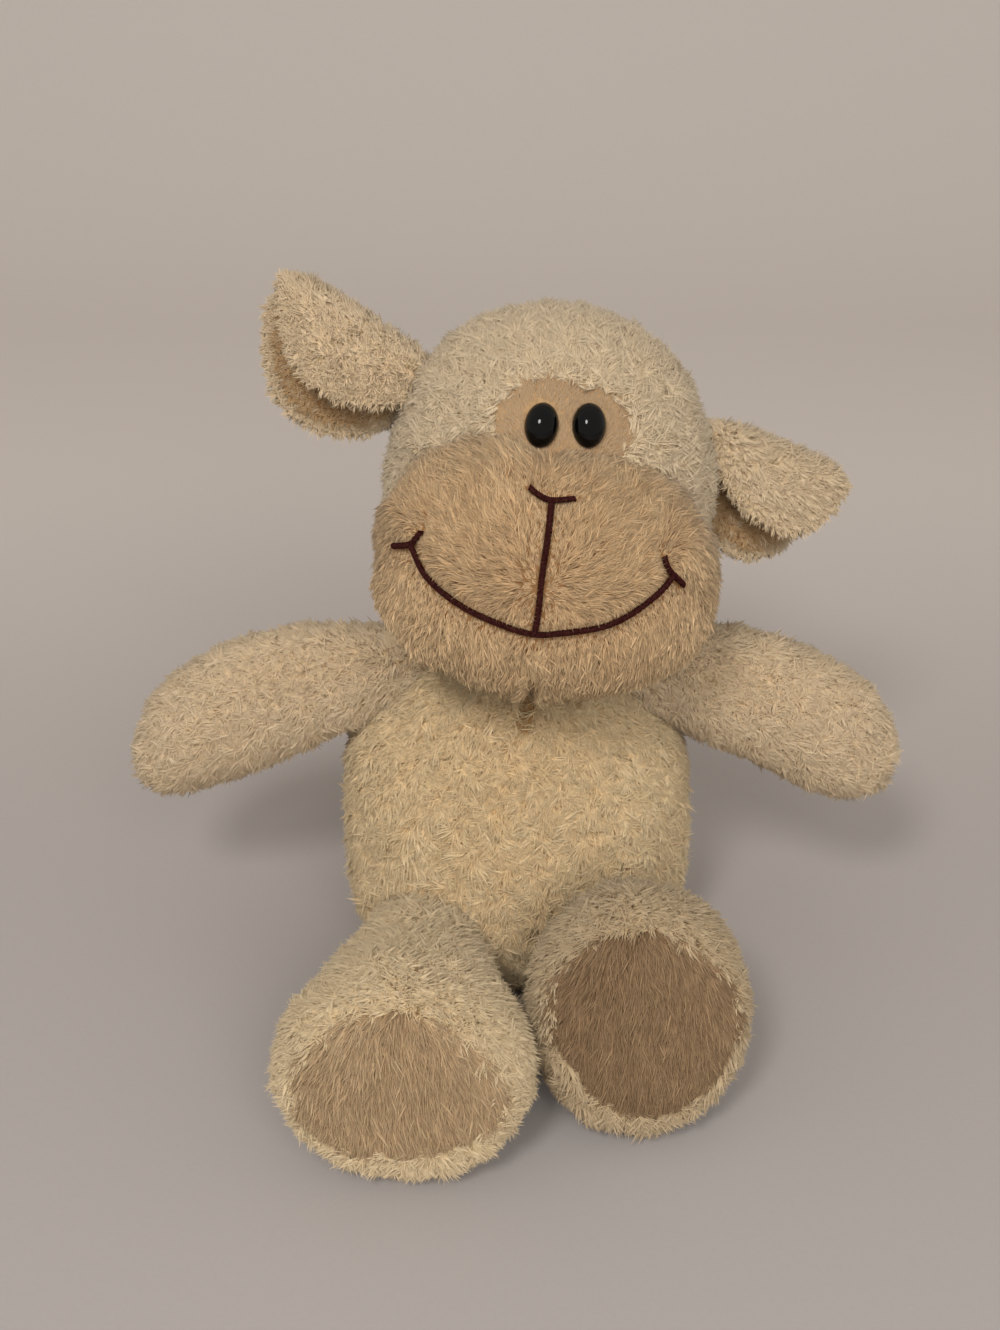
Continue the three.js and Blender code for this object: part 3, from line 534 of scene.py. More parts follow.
class Sheep:
    """The sheep's forms and places, worked out from its sizes."""

    def __init__(self, sizes):
        self.sizes = sizes
        self.torso = Form(sizes.torso_wide, sizes.torso_deep, sizes.torso_tall, TORSO_SHARES)
        self.torso_place = shift(0, sizes.torso_back, sizes.torso_tall / 2 - sizes.seat_flat)
        top = self.on_torso(1.0, 0.0)
        self.neck_pivot = Vector((sizes.neck_aside, top.y, top.z + sizes.neck_rise))
        self.head = Matrix.Translation(self.neck_pivot) @ turn("Y", 6) @ turn("X", -12)
        self.skull = Form(sizes.skull_wide, sizes.skull_deep, sizes.skull_tall, SKULL_SHARES)
        self.skull_place = self.head @ shift(0, -sizes.skull_fore, sizes.skull_lift)
        self.muzzle = Form(sizes.muzzle_wide, sizes.muzzle_deep, sizes.muzzle_tall, MUZZLE_SHARES)
        muzzle_fore = sizes.skull_fore + sizes.skull_deep * 0.4
        muzzle_lift = sizes.skull_lift - sizes.skull_tall * 0.195
        self.muzzle_place = self.head @ shift(0, -muzzle_fore, muzzle_lift)
        self.arm = Form(sizes.arm_wide, sizes.arm_deep, sizes.arm_tall, ARM_SHARES)
        self.arm_places = {side: self.arm_place(rest) for side, rest in ARM_RESTS.items()}
        self.leg_places = {side: self.leg_place(rest) for side, rest in LEG_RESTS.items()}
        self.legs = {side: self.leg_form(rest) for side, rest in LEG_RESTS.items()}
        self.ear = Form(sizes.ear_wide, sizes.ear_thick, sizes.ear_tall, EAR_SHARES)
        self.ear_places = {side: self.ear_place(rest) for side, rest in EAR_RESTS.items()}
        self.tail = Form(sizes.tail_wide, sizes.tail_deep, sizes.tail_tall, TAIL_SHARES)
        behind = self.on_torso(-0.5, math.pi / 2)
        self.tail_place = shift(behind.x, behind.y - 0.002, behind.z) @ turn("X", -90 - 35)

    def on_torso(self, rise, angle):
        return self.torso_place @ Vector(self.torso.skin(rise, angle))

    def arm_place(self, rest):
        side = rest["side"]
        seat = self.on_torso(0.84, 0.0 if side > 0 else math.pi)
        outward = turn("Y", side * (90 + rest["droop"])) @ turn("Z", 180 if side > 0 else 0)
        return shift(seat.x - side * 0.002, seat.y, seat.z) @ turn("Z", -side * rest["fore"]) @ outward

    def leg_place(self, rest):
        side = rest["side"]
        pivot = shift(side * self.sizes.torso_wide * rest["out"], -self.sizes.torso_deep * rest["fore"], rest["up"])
        return pivot @ turn("Z", side * rest["toe_out"]) @ turn("X", 90 - rest["raise"])

    def leg_form(self, rest):
        sizes = self.sizes
        return Form(
            sizes.leg_wide * rest["broad"], sizes.leg_deep * rest["deep"], sizes.leg_tall * rest["long"], LEG_SHARES
        )

    def ear_place(self, rest):
        side = rest["side"]
        angle = math.asin(rest["back"])
        root = self.skull.skin(rest["rise"], angle if side > 0 else math.pi - angle, 0.0015)
        root = Vector(root) + Vector((0, -self.sizes.skull_fore, self.sizes.skull_lift))
        lift = math.radians(rest["raise"])
        ahead = math.radians(rest["open"])
        along = Vector((side * math.cos(lift), 0, math.sin(lift)))
        below = Vector((side * math.sin(lift), 0, -math.cos(lift)))
        opening = below * math.cos(ahead) + Vector((0, -math.sin(ahead), 0))
        aside = opening.cross(along)
        basis = Matrix((aside, opening, along)).transposed().to_4x4()
        sweep = Matrix.Rotation(math.radians(-side * rest["sweep"]), 4, opening)
        return self.head @ Matrix.Translation(root) @ sweep @ basis

    def head_skin(self, inset, around, up):
        """The head's skin, with the soft lumps that stuffing gives it."""
        skin = self.skull.surface(inset, around, up).through(self.skull_place)
        return skin.puffed(depth=0.0007, size=0.026, seed=21).puffed(depth=0.0004, size=0.009, seed=22)

    def hem_lift(self, local):
        """How far the muzzle's upper hem is sewn higher on the sheep's right."""
        aside = np.clip((-0.003 - local[:, 0]) / 0.015, 0, 1)
        high = np.clip((local[:, 2] + 0.006) / 0.018, 0, 1)
        return 0.0034 * aside * aside * (3 - 2 * aside) * high * high * (3 - 2 * high)

    def muzzle_skin(self):
        """The muzzle's skin, whose upper hem sits higher on the sheep's right."""
        flat = self.muzzle.surface(PILE_ROOM, around=170, up=110)
        lift = self.hem_lift(flat.points)[:, None] * unit(np.array((-0.4, 0, 1.0)))
        skin = Surface(flat.points + lift, flat.faces, flat.flat).through(self.muzzle_place)
        return skin.puffed(depth=0.0005, size=0.022, seed=31)

    def in_skull(self, points, margin):
        return self.skull.holds(self.skull_place, points, margin)

    def in_torso(self, points, margin):
        return self.torso.holds(self.torso_place, points, margin)

    def in_muzzle(self, points, margin):
        local = points_through(self.muzzle_place.inverted(), points)
        return self.muzzle.holds(self.muzzle_place, points, margin + 0.85 * self.hem_lift(local))

    def leg_root(self, side):
        form = self.legs[side]
        return self.leg_places[side] @ shift(0, 0, form.tall / 2 - self.sizes.hip_ball)

    def arm_root(self, side):
        return self.arm_places[side] @ shift(0, 0, self.arm.tall / 2 - self.sizes.shoulder_ball)

    def leg_skin(self, side, inset, around, up):
        """A leg's skin, turned up past its ankle."""
        rest = LEG_RESTS[side]
        form = self.legs[side]
        flat = form.surface(inset, around, up).through(shift(0, 0, form.tall / 2 - self.sizes.hip_ball))
        flat = Surface(flat.points, flat.faces)
        ankle, run = 0.024, 0.022

        def bend(points):
            past = points[:, 2] - ankle
            angle = math.radians(rest["tilt"]) * np.clip(past / run, 0, 1)
            y = points[:, 1]
            moved = points.copy()
            beyond = past > 0
            moved[beyond, 1] = (y * np.cos(angle) + past * np.sin(angle))[beyond]
            moved[beyond, 2] = (ankle + past * np.cos(angle) - y * np.sin(angle))[beyond]
            return moved

        return flat.moved(bend).through(self.leg_places[side])

    def ear_wrap(self, side, points):
        """Points of an ear's leaf laid flat, folded lengthwise round its opening and put in place."""
        fold, setback, sunk = self.sizes.ear_fold, 0.009, 0.005
        limit = math.radians(80)
        aside = points[:, 0] - EAR_RESTS[side]["side"] * self.sizes.ear_slip
        angle = np.clip(aside / fold, -limit, limit)
        flap = aside - angle * fold
        reach = fold - points[:, 1]
        folded = columns(
            np.sin(angle) * reach + np.cos(angle) * flap,
            fold - np.cos(angle) * reach + np.sin(np.abs(angle)) * np.abs(flap) - setback,
            points[:, 2] + self.sizes.ear_tall / 2 - sunk,
        )
        return points_through(self.ear_places[side], folded)

    def ear_skin(self, side, form, inset, toward, around, up):
        flat = form.surface(inset, around, up).through(shift(0, toward, 0))
        flat = Surface(flat.points, flat.faces)
        return flat.moved(lambda points: self.ear_wrap(side, points))

    def ear_rim(self, flat):
        """0 in the middle of an ear's leaf, rising to 1 at its rim."""
        x, z = flat[:, 0] / (self.sizes.ear_wide / 2), flat[:, 2] / (self.sizes.ear_tall / 2)
        return np.clip((np.hypot(x, z) - 0.66) / 0.24, 0, 1)


# Making objects


def add_object(name, mesh, material, body):
    piece = bpy.data.objects.new(name, mesh)
    bpy.context.scene.collection.objects.link(piece)
    mesh.materials.append(material)
    if body:
        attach(piece, body)
    return piece


def mesh_of(name, points, faces):
    """A smooth triangle mesh from arrays of points and corners."""
    mesh = bpy.data.meshes.new(name)
    mesh.vertices.add(len(points))
    mesh.vertices.foreach_set("co", np.asarray(points, dtype=np.float32).ravel())
    mesh.loops.add(faces.size)
    mesh.loops.foreach_set("vertex_index", np.asarray(faces, dtype=np.int32).ravel())
    mesh.polygons.add(len(faces))
    mesh.polygons.foreach_set("loop_start", np.arange(0, faces.size, 3, dtype=np.int32))
    mesh.polygons.foreach_set("use_smooth", np.ones(len(faces), dtype=bool))
    mesh.update(calc_edges=True)
    return mesh


def padded_cloth(name, surface, material, body, nodes):
    piece = add_object(name, mesh_of(name, surface.points, surface.faces), material, body)
    if nodes:
        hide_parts(*nodes)
    return piece


# Pile


@dataclass
class Growth:
    """How one cloth's pile grows. The factors dense, per_tuft, wide and spread are times the pile settings.

    Lay is how far the lower and the upper part of a strand lean over, in degrees. Sway and swirl turn tufts aside,
    each for itself and in whorls of swirl_size metres. Under is the share of short strands, glow the lift of light.
    """

    long: float
    lay: tuple = (32, 62)
    sway: float = 24
    swirl: float = 50
    swirl_size: float = 0.009
    dense: float = 1.0
    per_tuft: float = 1.0
    wide: float = 1.0
    spread: float = 1.0
    curl: float = 0.34
    gather: float = 0.35
    uneven: float = 0.16
    under: float = 0.35
    glow: float = 0.3


def scattered(surface, per_square_millimetre, rng):
    """Evenly scattered places on a skin, each with its outward direction and its place on the flat form."""
    areas = np.linalg.norm(surface.corner_crosses(), axis=1) / 2
    count = max(1, int(areas.sum() * 1e6 * per_square_millimetre))
    marks = (np.arange(count) + rng.random(count)) * areas.sum() / count
    face = np.minimum(np.searchsorted(np.cumsum(areas), marks), len(areas) - 1)
    first, second = rng.random((2, count))
    edge = np.sqrt(first)
    weights = columns(1 - edge, edge * (1 - second), edge * second)
    corners = surface.faces[face]

    def blend(values):
        return np.einsum("nk,nkd->nd", weights, values[corners])

    return blend(surface.points), unit(blend(surface.normals())), blend(surface.flat)


def grow_pile(name, surface, growth, comb, keep, material, body, seed, shorten=None, glow=None):
    """Tufts of strands on a skin, each strand a thin bent sliver, in pieces small enough to handle.

    Comb, keep, shorten and glow are asked with the tufts' places and their places on the flat form.
    """
    pile = settings().sheep_pile
    rng = np.random.default_rng(pile.seed * 1000 + seed)
    centre, normal, flat = scattered(surface, pile.density * growth.dense, rng)
    kept = keep(centre, flat)
    centre, normal, flat = centre[kept], normal[kept], flat[kept]
    count = len(centre)
    toward = comb(centre, flat)
    toward = unit(toward - normal * np.sum(toward * normal, axis=1, keepdims=True))
    swing = growth.swirl * ripple(centre, growth.swirl_size, seed + 50) + growth.sway * rng.normal(size=count)
    toward = between(toward, np.cross(normal, toward), np.radians(swing)[:, None])
    side = np.cross(normal, toward)
    long = growth.long * rng.uniform(0.8, 1.12, count) * (1 + growth.uneven * ripple(centre, 0.0045, seed + 70))
    if shorten is not None:
        long *= shorten(centre, flat)
    lay = np.radians(np.clip(rng.normal(0, 8, (2, count)) + np.array(growth.lay)[:, None], 5, 86))
    tuft_curl = growth.curl * np.clip(rng.normal(0, 1, count), -1.8, 1.8)

    per_tuft = max(1, round(pile.per_tuft * growth.per_tuft))
    total = count * per_tuft
    tuft = np.repeat(np.arange(count), per_tuft)
    up, on, beside = normal[tuft], toward[tuft], side[tuft]
    spin = rng.uniform(0, 2 * math.pi, total)[:, None]
    offset = between(on, beside, spin) * (pile.tuft_radius * growth.spread * np.sqrt(rng.random(total))[:, None])
    short = rng.random(total) < growth.under
    share = np.where(short, SHORT_SHARE, 1.0)
    strand_long = (long[tuft] * rng.uniform(0.82, 1.08, total) * share)[:, None]
    curl = beside * (tuft_curl[tuft] + rng.normal(0, 0.16, total))[:, None] * strand_long
    low = np.maximum(lay[0][tuft] - 0.2 * short + rng.normal(0, 0.12, total), 0)[:, None]
    high = np.maximum(lay[1][tuft] - 0.3 * short + rng.normal(0, 0.1, total), low[:, 0] + 0.15)[:, None]
    pull = offset * (growth.gather * np.where(rng.random(total) < 0.1, 0.0, 1.0)[:, None])
    root = centre[tuft] + offset - up * ROOT_SINK
    middle = root + between(up, on, low) * strand_long * BEND_AT + curl * 0.25 - pull * 0.3
    tip = middle + between(up, on, high) * strand_long * 0.6 + curl * 0.75 - pull * 0.6

    reach = unit(tip - root)
    across = unit(np.cross(reach, up + 1e-6))
    across = between(across, np.cross(reach, across), np.radians(rng.normal(0, 18, total))[:, None])
    half = (pile.strand_wide * growth.wide / 2 * rng.uniform(0.8, 1.2, total) * (1 + 0.3 * short))[:, None]
    lift = (np.full(count, growth.glow) if glow is None else glow(centre, flat))[tuft][:, None]
    lit = unit(up * (1 - lift) + np.array((0, -0.2, 1.0)) * lift)
    points = np.stack([root, middle + across * half, middle - across * half, tip], axis=1)
    bends = np.stack([lit, lit + across * 0.5, lit - across * 0.5, lit + reach * 0.4], axis=1)
    points[:, :, 2] = np.maximum(points[:, :, 2], rng.uniform(0.0002, 0.00055, (total, 1)))

    pieces = math.ceil(total * 4 / MOST_FACES)
    middle_spot = centre.mean(axis=0)
    round_about = np.arctan2(centre[:, 1] - middle_spot[1], centre[:, 0] - middle_spot[0])
    part_of = np.empty(count, dtype=int)
    part_of[np.argsort(round_about)] = np.arange(count) * pieces // max(count, 1)
    for part in range(pieces):
        tufts = np.flatnonzero(part_of == part)
        picked = (tufts[:, None] * per_tuft + np.arange(per_tuft)).ravel()
        title = name if pieces == 1 else f"{name}_{part + 1}"
        pile_piece(title, points[picked], unit(bends[picked]), share[picked], per_tuft, rng, material, body)


def pile_piece(name, points, bends, share, per_tuft, rng, material, body):
    """One mesh of strands. Each point knows its place along the strand, its tuft's number and its strand's tone."""
    total = len(points)
    pattern = np.array([(0, 1, 2), (1, 3, 2), (0, 3, 1), (0, 2, 3)])
    faces = (np.arange(total)[:, None, None] * 4 + pattern[None]).reshape(-1, 3)
    mesh = mesh_of(name, points.reshape(-1, 3), faces)
    tufts = total // per_tuft
    column = np.arange(total) % 3
    along = np.array([0, BEND_AT, BEND_AT, 1])[None, :] * share[:, None]
    for title, values in (
        ("along", along.ravel()),
        ("tuft", np.repeat(rng.random(tufts), per_tuft * 4)),
        ("tone", np.repeat(column / 2, 4)),
    ):
        mesh.attributes.new(title, "FLOAT", "POINT").data.foreach_set("value", values.astype(np.float32))
    cells = math.ceil(math.sqrt(tufts))
    tuft = np.arange(total) // per_tuft
    corners = pattern.ravel()
    across = np.array([0.5, 0.12, 0.88, 0.5])[corners]
    spots = np.empty((total, 12, 2))
    spots[:, :, 0] = (tuft % cells)[:, None] + (column[:, None] + across[None, :]) / 3
    spots[:, :, 1] = (tuft // cells)[:, None] + 0.06 + 0.88 * along[:, corners]
    uv = mesh.uv_layers.new(name="OFBake")
    uv.data.foreach_set("uv", (spots / cells).astype(np.float32).ravel())
    mesh.normals_split_custom_set_from_vertices(bends.reshape(-1, 3).astype(np.float32))
    return add_object(name, mesh, material, body)


# Materials


def new_group(name, inputs, outputs):
    """A shader node group with named sockets; inputs give each socket's kind and value."""
    group = bpy.data.node_groups.new(name, "ShaderNodeTree")
    for title, kind, value in inputs:
        group.interface.new_socket(title, in_out="INPUT", socket_type=kind).default_value = value
    for title, kind in outputs:
        group.interface.new_socket(title, in_out="OUTPUT", socket_type=kind)
    return group, group.nodes.new("NodeGroupInput"), group.nodes.new("NodeGroupOutput")


def feed(tree, node, values):
    """Gives a node's inputs, by name or number, each a socket's output or a plain value."""
    for title, value in values.items():
        if isinstance(value, bpy.types.NodeSocket):
            tree.links.new(value, node.inputs[title])
        else:
            node.inputs[title].default_value = value


def mix_colours(tree, factor, first, second, blend="MIX"):
    node = tree.nodes.new("ShaderNodeMix")
    node.data_type = "RGBA"
    node.blend_type = blend
    feed(tree, node, {0: factor, 6: first, 7: second})
    return node.outputs[2]


def maths(tree, operation, first, second):
    node = tree.nodes.new("ShaderNodeMath")
    node.operation = operation
    feed(tree, node, {0: first, 1: second})
    return node.outputs[0]


def noise(tree, place, scale, detail=2.0, rough=0.5):
    node = tree.nodes.new("ShaderNodeTexNoise")
    feed(tree, node, {"Vector": place, "Scale": scale, "Detail": detail, "Roughness": rough})
    return node.outputs["Fac"]


def ramp(tree, value, low, high):
    node = tree.nodes.new("ShaderNodeMapRange")
    node.interpolation_type = "SMOOTHSTEP"
    feed(tree, node, {"Value": value, "From Min": low, "From Max": high})
    return node.outputs["Result"]


def bumped(tree, height, strength, depth):
    node = tree.nodes.new("ShaderNodeBump")
    feed(tree, node, {"Height": height, "Strength": strength, "Distance": depth})
    return node.outputs["Normal"]


def object_place(tree):
    return tree.nodes.new("ShaderNodeTexCoord").outputs["Object"]


def attribute(tree, name):
    node = tree.nodes.new("ShaderNodeAttribute")
    node.attribute_name = name
    return node.outputs["Fac"]


def pile_colour_group(name):
    """Colour of a strand: darker at its root as painted shade deep in the pile, uneven from tuft to tuft, and faded in
    broad patches.
    """
    plain = (0.5, 0.5, 0.5, 1)
    group, given, out = new_group(
        name,
        [
            ("Root", "NodeSocketColor", plain),
            ("Tip", "NodeSocketColor", plain),
            ("Stain", "NodeSocketColor", plain),
            ("Stain amount", "NodeSocketFloat", 0.3),
            ("Unevenness", "NodeSocketFloat", 0.25),
        ],
        [("Color", "NodeSocketColor")],
    )
    along = maths(group, "POWER", attribute(group, "along"), 0.8)
    # Root to tip: the root's darker dye is painted shade of the pile's depth
    strand = mix_colours(group, along, given.outputs["Root"], given.outputs["Tip"])
    broad = ramp(group, noise(group, object_place(group), 38.0), 0.35, 0.7)
    amount = maths(group, "MULTIPLY", broad, given.outputs["Stain amount"])
    stained = mix_colours(group, amount, strand, given.outputs["Stain"])
    mixed = maths(group, "ADD", attribute(group, "tuft"), maths(group, "MULTIPLY", attribute(group, "tone"), 0.9))
    swing = maths(group, "MULTIPLY", maths(group, "SUBTRACT", mixed, 0.95), given.outputs["Unevenness"])
    shade = group.nodes.new("ShaderNodeHueSaturation")
    feed(group, shade, {"Value": maths(group, "ADD", swing, 1.0), "Color": stained})
    feed(group, out, {"Color": shade.outputs["Color"]})
    return group


def cloth_group(name):
    """Knitted backing cloth: a fine even mesh of loops, with a colour and a height; the colour is darker in the loops'
    hollows as painted shade.
    """
    group, given, out = new_group(
        name,
        [("Base", "NodeSocketColor", (0.5, 0.5, 0.5, 1)), ("Loops", "NodeSocketFloat", 900.0)],
        [("Color", "NodeSocketColor"), ("Height", "NodeSocketFloat")],
    )
    place = object_place(group)
    loops = group.nodes.new("ShaderNodeTexVoronoi")
    feed(group, loops, {"Vector": place, "Scale": given.outputs["Loops"]})
    deep = maths(group, "MULTIPLY", loops.outputs["Distance"], 0.6)
    height = maths(group, "ADD", deep, noise(group, place, 420.0, 3.0))
    # Painted shade: darker where the loops lie low, lighter on their tops
    light = mix_colours(group, ramp(group, height, 0.3, 1.1), (0.75, 0.75, 0.75, 1), (1.1, 1.1, 1.1, 1))
    colour = mix_colours(group, 1.0, given.outputs["Base"], light, "MULTIPLY")
    feed(group, out, {"Color": colour, "Height": height})
    return group


def group_node(tree, name, build, values):
    """A shader node group in a material's tree, built by the first material that uses it."""
    node = tree.nodes.new("ShaderNodeGroup")
    node.node_tree = bpy.data.node_groups.get(name) or build(name)
    feed(tree, node, values)
    return node


def material_of(name, paint, gloss):
    """A named material. Paint gives its tree's sockets for the shader; gloss holds the shader's plain numbers."""
    if name not in bpy.data.materials:
        material = bpy.data.materials.new(name)
        material.use_nodes = True
        tree = material.node_tree
        feed(tree, tree.nodes["Principled BSDF"], {**paint(tree), **gloss})
    return bpy.data.materials[name]


def cloth_dyes(cloth):
    dyes, dye_name = settings().sheep_dyes, CLOTHS[cloth][0]
    return getattr(dyes, f"{dye_name}_root"), getattr(dyes, f"{dye_name}_tip")


def four(colour):
    return (*colour, 1.0)


def blended(first, second, share):
    return tuple(a + (b - a) * share for a, b in zip(first, second))


def pile_material(cloth):
    """The pile of one of the cloths."""
    root, tip = cloth_dyes(cloth)
    _, stain_share, stain_amount, unevenness, _ = CLOTHS[cloth]

    def paint(tree):
        strand = group_node(tree, "Pile colour", pile_colour_group, {
            "Root": four(root), "Tip": four(tip), "Stain": four(blended(tip, root, stain_share)),
            "Stain amount": stain_amount, "Unevenness": unevenness,
        })
        return {"Base Color": strand.outputs["Color"]}

    gloss = {"Roughness": 0.8, "Specular IOR Level": 0.15, "Sheen Weight": 0.12, "Sheen Roughness": 0.5}
    return material_of(f"{cloth} pile", paint, gloss)


def backing_material(cloth):
    """The knitted backing of one of the cloths."""
    return knitted_material(f"{cloth} backing", blended(*cloth_dyes(cloth), CLOTHS[cloth][4]))


def knitted_material(name, base):
    def paint(tree):
        cloth = group_node(tree, "Knitted backing", cloth_group, {"Base": four(base)})
        return {"Base Color": cloth.outputs["Color"], "Normal": bumped(tree, cloth.outputs["Height"], 0.6, 0.0004)}

    return material_of(name, paint, {"Roughness": 0.92, "Specular IOR Level": 0.1})


def eye_plastic():
    """Polished black plastic with the faintest handling marks."""

    def paint(tree):
        marks = ramp(tree, noise(tree, object_place(tree), 600.0, 4.0, 0.7), 0.55, 0.8)
        return {"Roughness": maths(tree, "ADD", maths(tree, "MULTIPLY", marks, 0.08), 0.06)}

    black = four(settings().sheep_dyes.eye)
    return material_of("Eye plastic", paint, {"Base Color": black, "Specular IOR Level": 0.24})


def washer_plastic():
    def paint(tree):
        base = settings().sheep_dyes.washer
        grain = ramp(tree, noise(tree, object_place(tree), 300.0, 3.0), 0.3, 0.7)
        return {"Base Color": mix_colours(tree, grain, four(blended(base, BLACK, 0.12)), four(base))}

    return material_of("Washer plastic", paint, {"Roughness": 0.5})


def thread_material():
    """Rayon thread: a soft lengthwise gloss with fine filaments."""

    def paint(tree):
        base, place = settings().sheep_dyes.thread, object_place(tree)
        grain = ramp(tree, noise(tree, place, 1500.0, 3.0), 0.3, 0.7)
        dark, light = blended(base, BLACK, 0.45), blended(base, (1, 0.6, 0.5), 0.012)
        return {
            "Base Color": mix_colours(tree, grain, four(dark), four(light)),
            "Normal": bumped(tree, noise(tree, place, 2600.0), 0.4, 0.0001),
        }

    return material_of("Embroidery thread", paint, {"Roughness": 0.7, "Specular IOR Level": 0.05})


# Combing: which way the pile lies


def along_comb(direction):
    return lambda points, flat: np.tile(tuple(direction), (len(points), 1))


def axis_of(place, column):
    return np.array(place.to_3x3().col[column].normalized())


def everywhere(points, flat):
    return np.ones(len(points), dtype=bool)


class SheepOperator(bpy.types.Operator):
    """Base of the operators that sew the sheep."""

    bl_options = {"REGISTER", "UNDO"}

    def execute(self, context):
        if not self.make(Sheep(context.scene.sheep_sizes), context.scene.sheep_pile):
            raise RuntimeError(f"{self.bl_label}: nothing was made")
        return {"FINISHED"}


class PairOperator(SheepOperator):
    """Base of the operators that sew the same for the left and the right side."""

    def make(self, sheep, pile):
        return [self.sew(sheep, pile, side, number) for number, side in enumerate(SIDES)]


class SHEEP_OT_torso(SheepOperator):
    """Sew the torso, a padded barrel of cream pile with a flat seat."""

    bl_idname = "sheep.torso"
    bl_label = "Torso"

    def make(self, sheep, pile):
        skin = sheep.torso.surface(PILE_ROOM, around=150, up=96).through(sheep.torso_place)
        skin = skin.puffed(depth=0.0008, size=0.03, seed=11).puffed(depth=0.0005, size=0.01, seed=12)
        skin = skin.pressed(FLOOR_GAP)
        nodes = ("torso_cover_front", "torso_cover_back", "torso_stuffing", "bean_bag")
        cloth = padded_cloth("torso_cloth", skin, backing_material("Body"), "torso", nodes)

        def keep(points, flat):
            hidden = sheep.in_skull(points, COVERED) | at_throat_seam(points, 0.0002)
            for side in SIDES:
                hidden |= sheep.arm.holds(sheep.arm_root(side), points, TUCKED)
                hidden |= sheep.legs[side].holds(sheep.leg_root(side), points, TUCKED)
            return ~hidden

        def comb(points, flat):
            return columns(6.0 * points[:, 0], np.zeros(len(points)), np.full(len(points), -1.0))

        growth = Growth(pile.cream_long, lay=(30, 60), sway=46, swirl=60, swirl_size=0.008, gather=0.5, uneven=0.26)
        grow_pile("torso_pile", skin, growth, comb, keep, pile_material("Body"), "torso", 1)
        fine = sheep.torso.surface(inset=0.0012, around=420, up=260).through(sheep.torso_place)
        front, pad = fine.patch(at_throat_seam(fine.points, margin=0.0006), PAD_THICK)
        bare = knitted_material("Throat seam", settings().sheep_dyes.seam)
        padded_cloth("throat_seam_cloth", pad, bare, "torso", ())
        short = Growth(pile.lining_long, lay=(30, 60), sway=40, dense=1.6, per_tuft=0.75, wide=0.8, spread=0.7)
        grow_pile("throat_seam_pile", front, short, comb, everywhere, pile_material("Lining"), "torso", 17)
        return cloth


def at_throat_seam(points, margin):
    """Which points lie in the short strip of bare seam at the throat."""
    x, y, z = points.T
    return (np.abs(x - SEAM_ASIDE) < SEAM_HALF + margin) & (z > SEAM_FOOT) & (y < SEAM_BACK)


class SHEEP_OT_head(SheepOperator):
    """Sew the head, a padded ball of cream pile."""

    bl_idname = "sheep.head"
    bl_label = "Head"

    def make(self, sheep, pile):
        skin = sheep.head_skin(PILE_ROOM, around=130, up=84)
        nodes = ("head_cover_left", "head_cover_right", "head_stuffing")
        cloth = padded_cloth("head_cloth", skin, backing_material("Cream"), "head", nodes)
        middle = np.array(sheep.skull_place @ Vector((0, -sheep.skull.deep / 2, 0.018)))

        def keep(points, flat):
            hidden = sheep.in_muzzle(points, 0.0004) | sheep.in_torso(points, COVERED)
            return ~hidden & ~in_patch(sheep, flat, -0.0006)

        def comb(points, flat):
            return points - middle

        growth = Growth(pile.cream_long * 0.95, lay=(28, 56), sway=55, swirl=65, swirl_size=0.008)
        grow_pile("head_pile", skin, growth, comb, keep, pile_material("Cream"), "head", 2)
        for side in SIDES:
            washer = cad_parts[f"eye_washer_{side}"]
            washer.data.materials.clear()
            washer.data.materials.append(washer_plastic())
        return cloth


def in_patch(sheep, flat, margin):
    """Which points of the head, by their flat places, lie in the face patch."""
    sizes = sheep.sizes
    x = flat[:, 0] / (sizes.patch_wide / 2 + margin)
    z = (flat[:, 2] - sizes.patch_lift) / (sizes.patch_tall / 2 + margin)
    return (x * x + z * z < 1) & (flat[:, 1] < 0)


class SHEEP_OT_face_patch(SheepOperator):
    """Sew in the face patch, an oval of short golden pile round the eyes."""

    bl_idname = "sheep.face_patch"
    bl_label = "Face patch"

    def make(self, sheep, pile):
        sizes = sheep.sizes
        skin = sheep.head_skin(inset=0.0018, around=260, up=170)
        front, pad = skin.patch(in_patch(sheep, skin.flat, margin=0.0012), PAD_THICK)
        cloth = padded_cloth("face_patch_cloth", pad, backing_material("Patch"), "head", ("face_patch",))
        centre = np.array(sheep.skull_place @ Vector((0, -sheep.skull.deep / 2, 0)))

        def keep(points, flat):
            covered = sheep.in_muzzle(points, -0.001)
            z = (flat[:, 2] - sheep.skull.tall / 2 * EYE_RISE) / (sizes.eye_tall * 0.4)
            for side in (1, -1):
                x = (flat[:, 0] - side * sizes.eye_between / 2) / (sizes.eye_wide / 2)
                covered |= x * x + z * z < 1
            return ~covered

        def comb(points, flat):
            return points - centre

        growth = Growth(
            pile.patch_long, lay=(40, 62), sway=12, swirl=14, dense=2.4, per_tuft=0.75, wide=0.62, spread=0.6, curl=0.1
        )
        grow_pile("face_patch_pile", front, growth, comb, keep, pile_material("Patch"), "head", 3)
        return cloth


def stitch_rows(sheep):
    """The embroidered lines as points on the muzzle's skin, with the skin's outward direction."""
    skin = sheep.muzzle_skin()
    tree = BVHTree.FromPolygons([Vector(point) for point in skin.points], skin.faces.tolist())
    ahead = sheep.muzzle_place.to_3x3() @ Vector((0, 1, 0))
    rows = {}
    for name, shares in (
        ("nose_stroke", NOSE_STROKE), ("nose_arms", NOSE_ARMS), ("smile", SMILE),
        ("left_tick", LEFT_TICK), ("right_tick", RIGHT_TICK),
    ):
        points, outward = [], []
        for across, rise in smooth_line(np.array(shares)):
            start = sheep.muzzle_place @ Vector((across * sheep.muzzle.wide / 2, -0.1, rise * sheep.muzzle.tall / 2))
            spot, normal, _, _ = tree.ray_cast(start, ahead)
            points.append(spot + normal * STITCH_LIFT)
            outward.append(normal)
        rows[name] = (np.array(points), unit(np.array(outward)))
    return rows


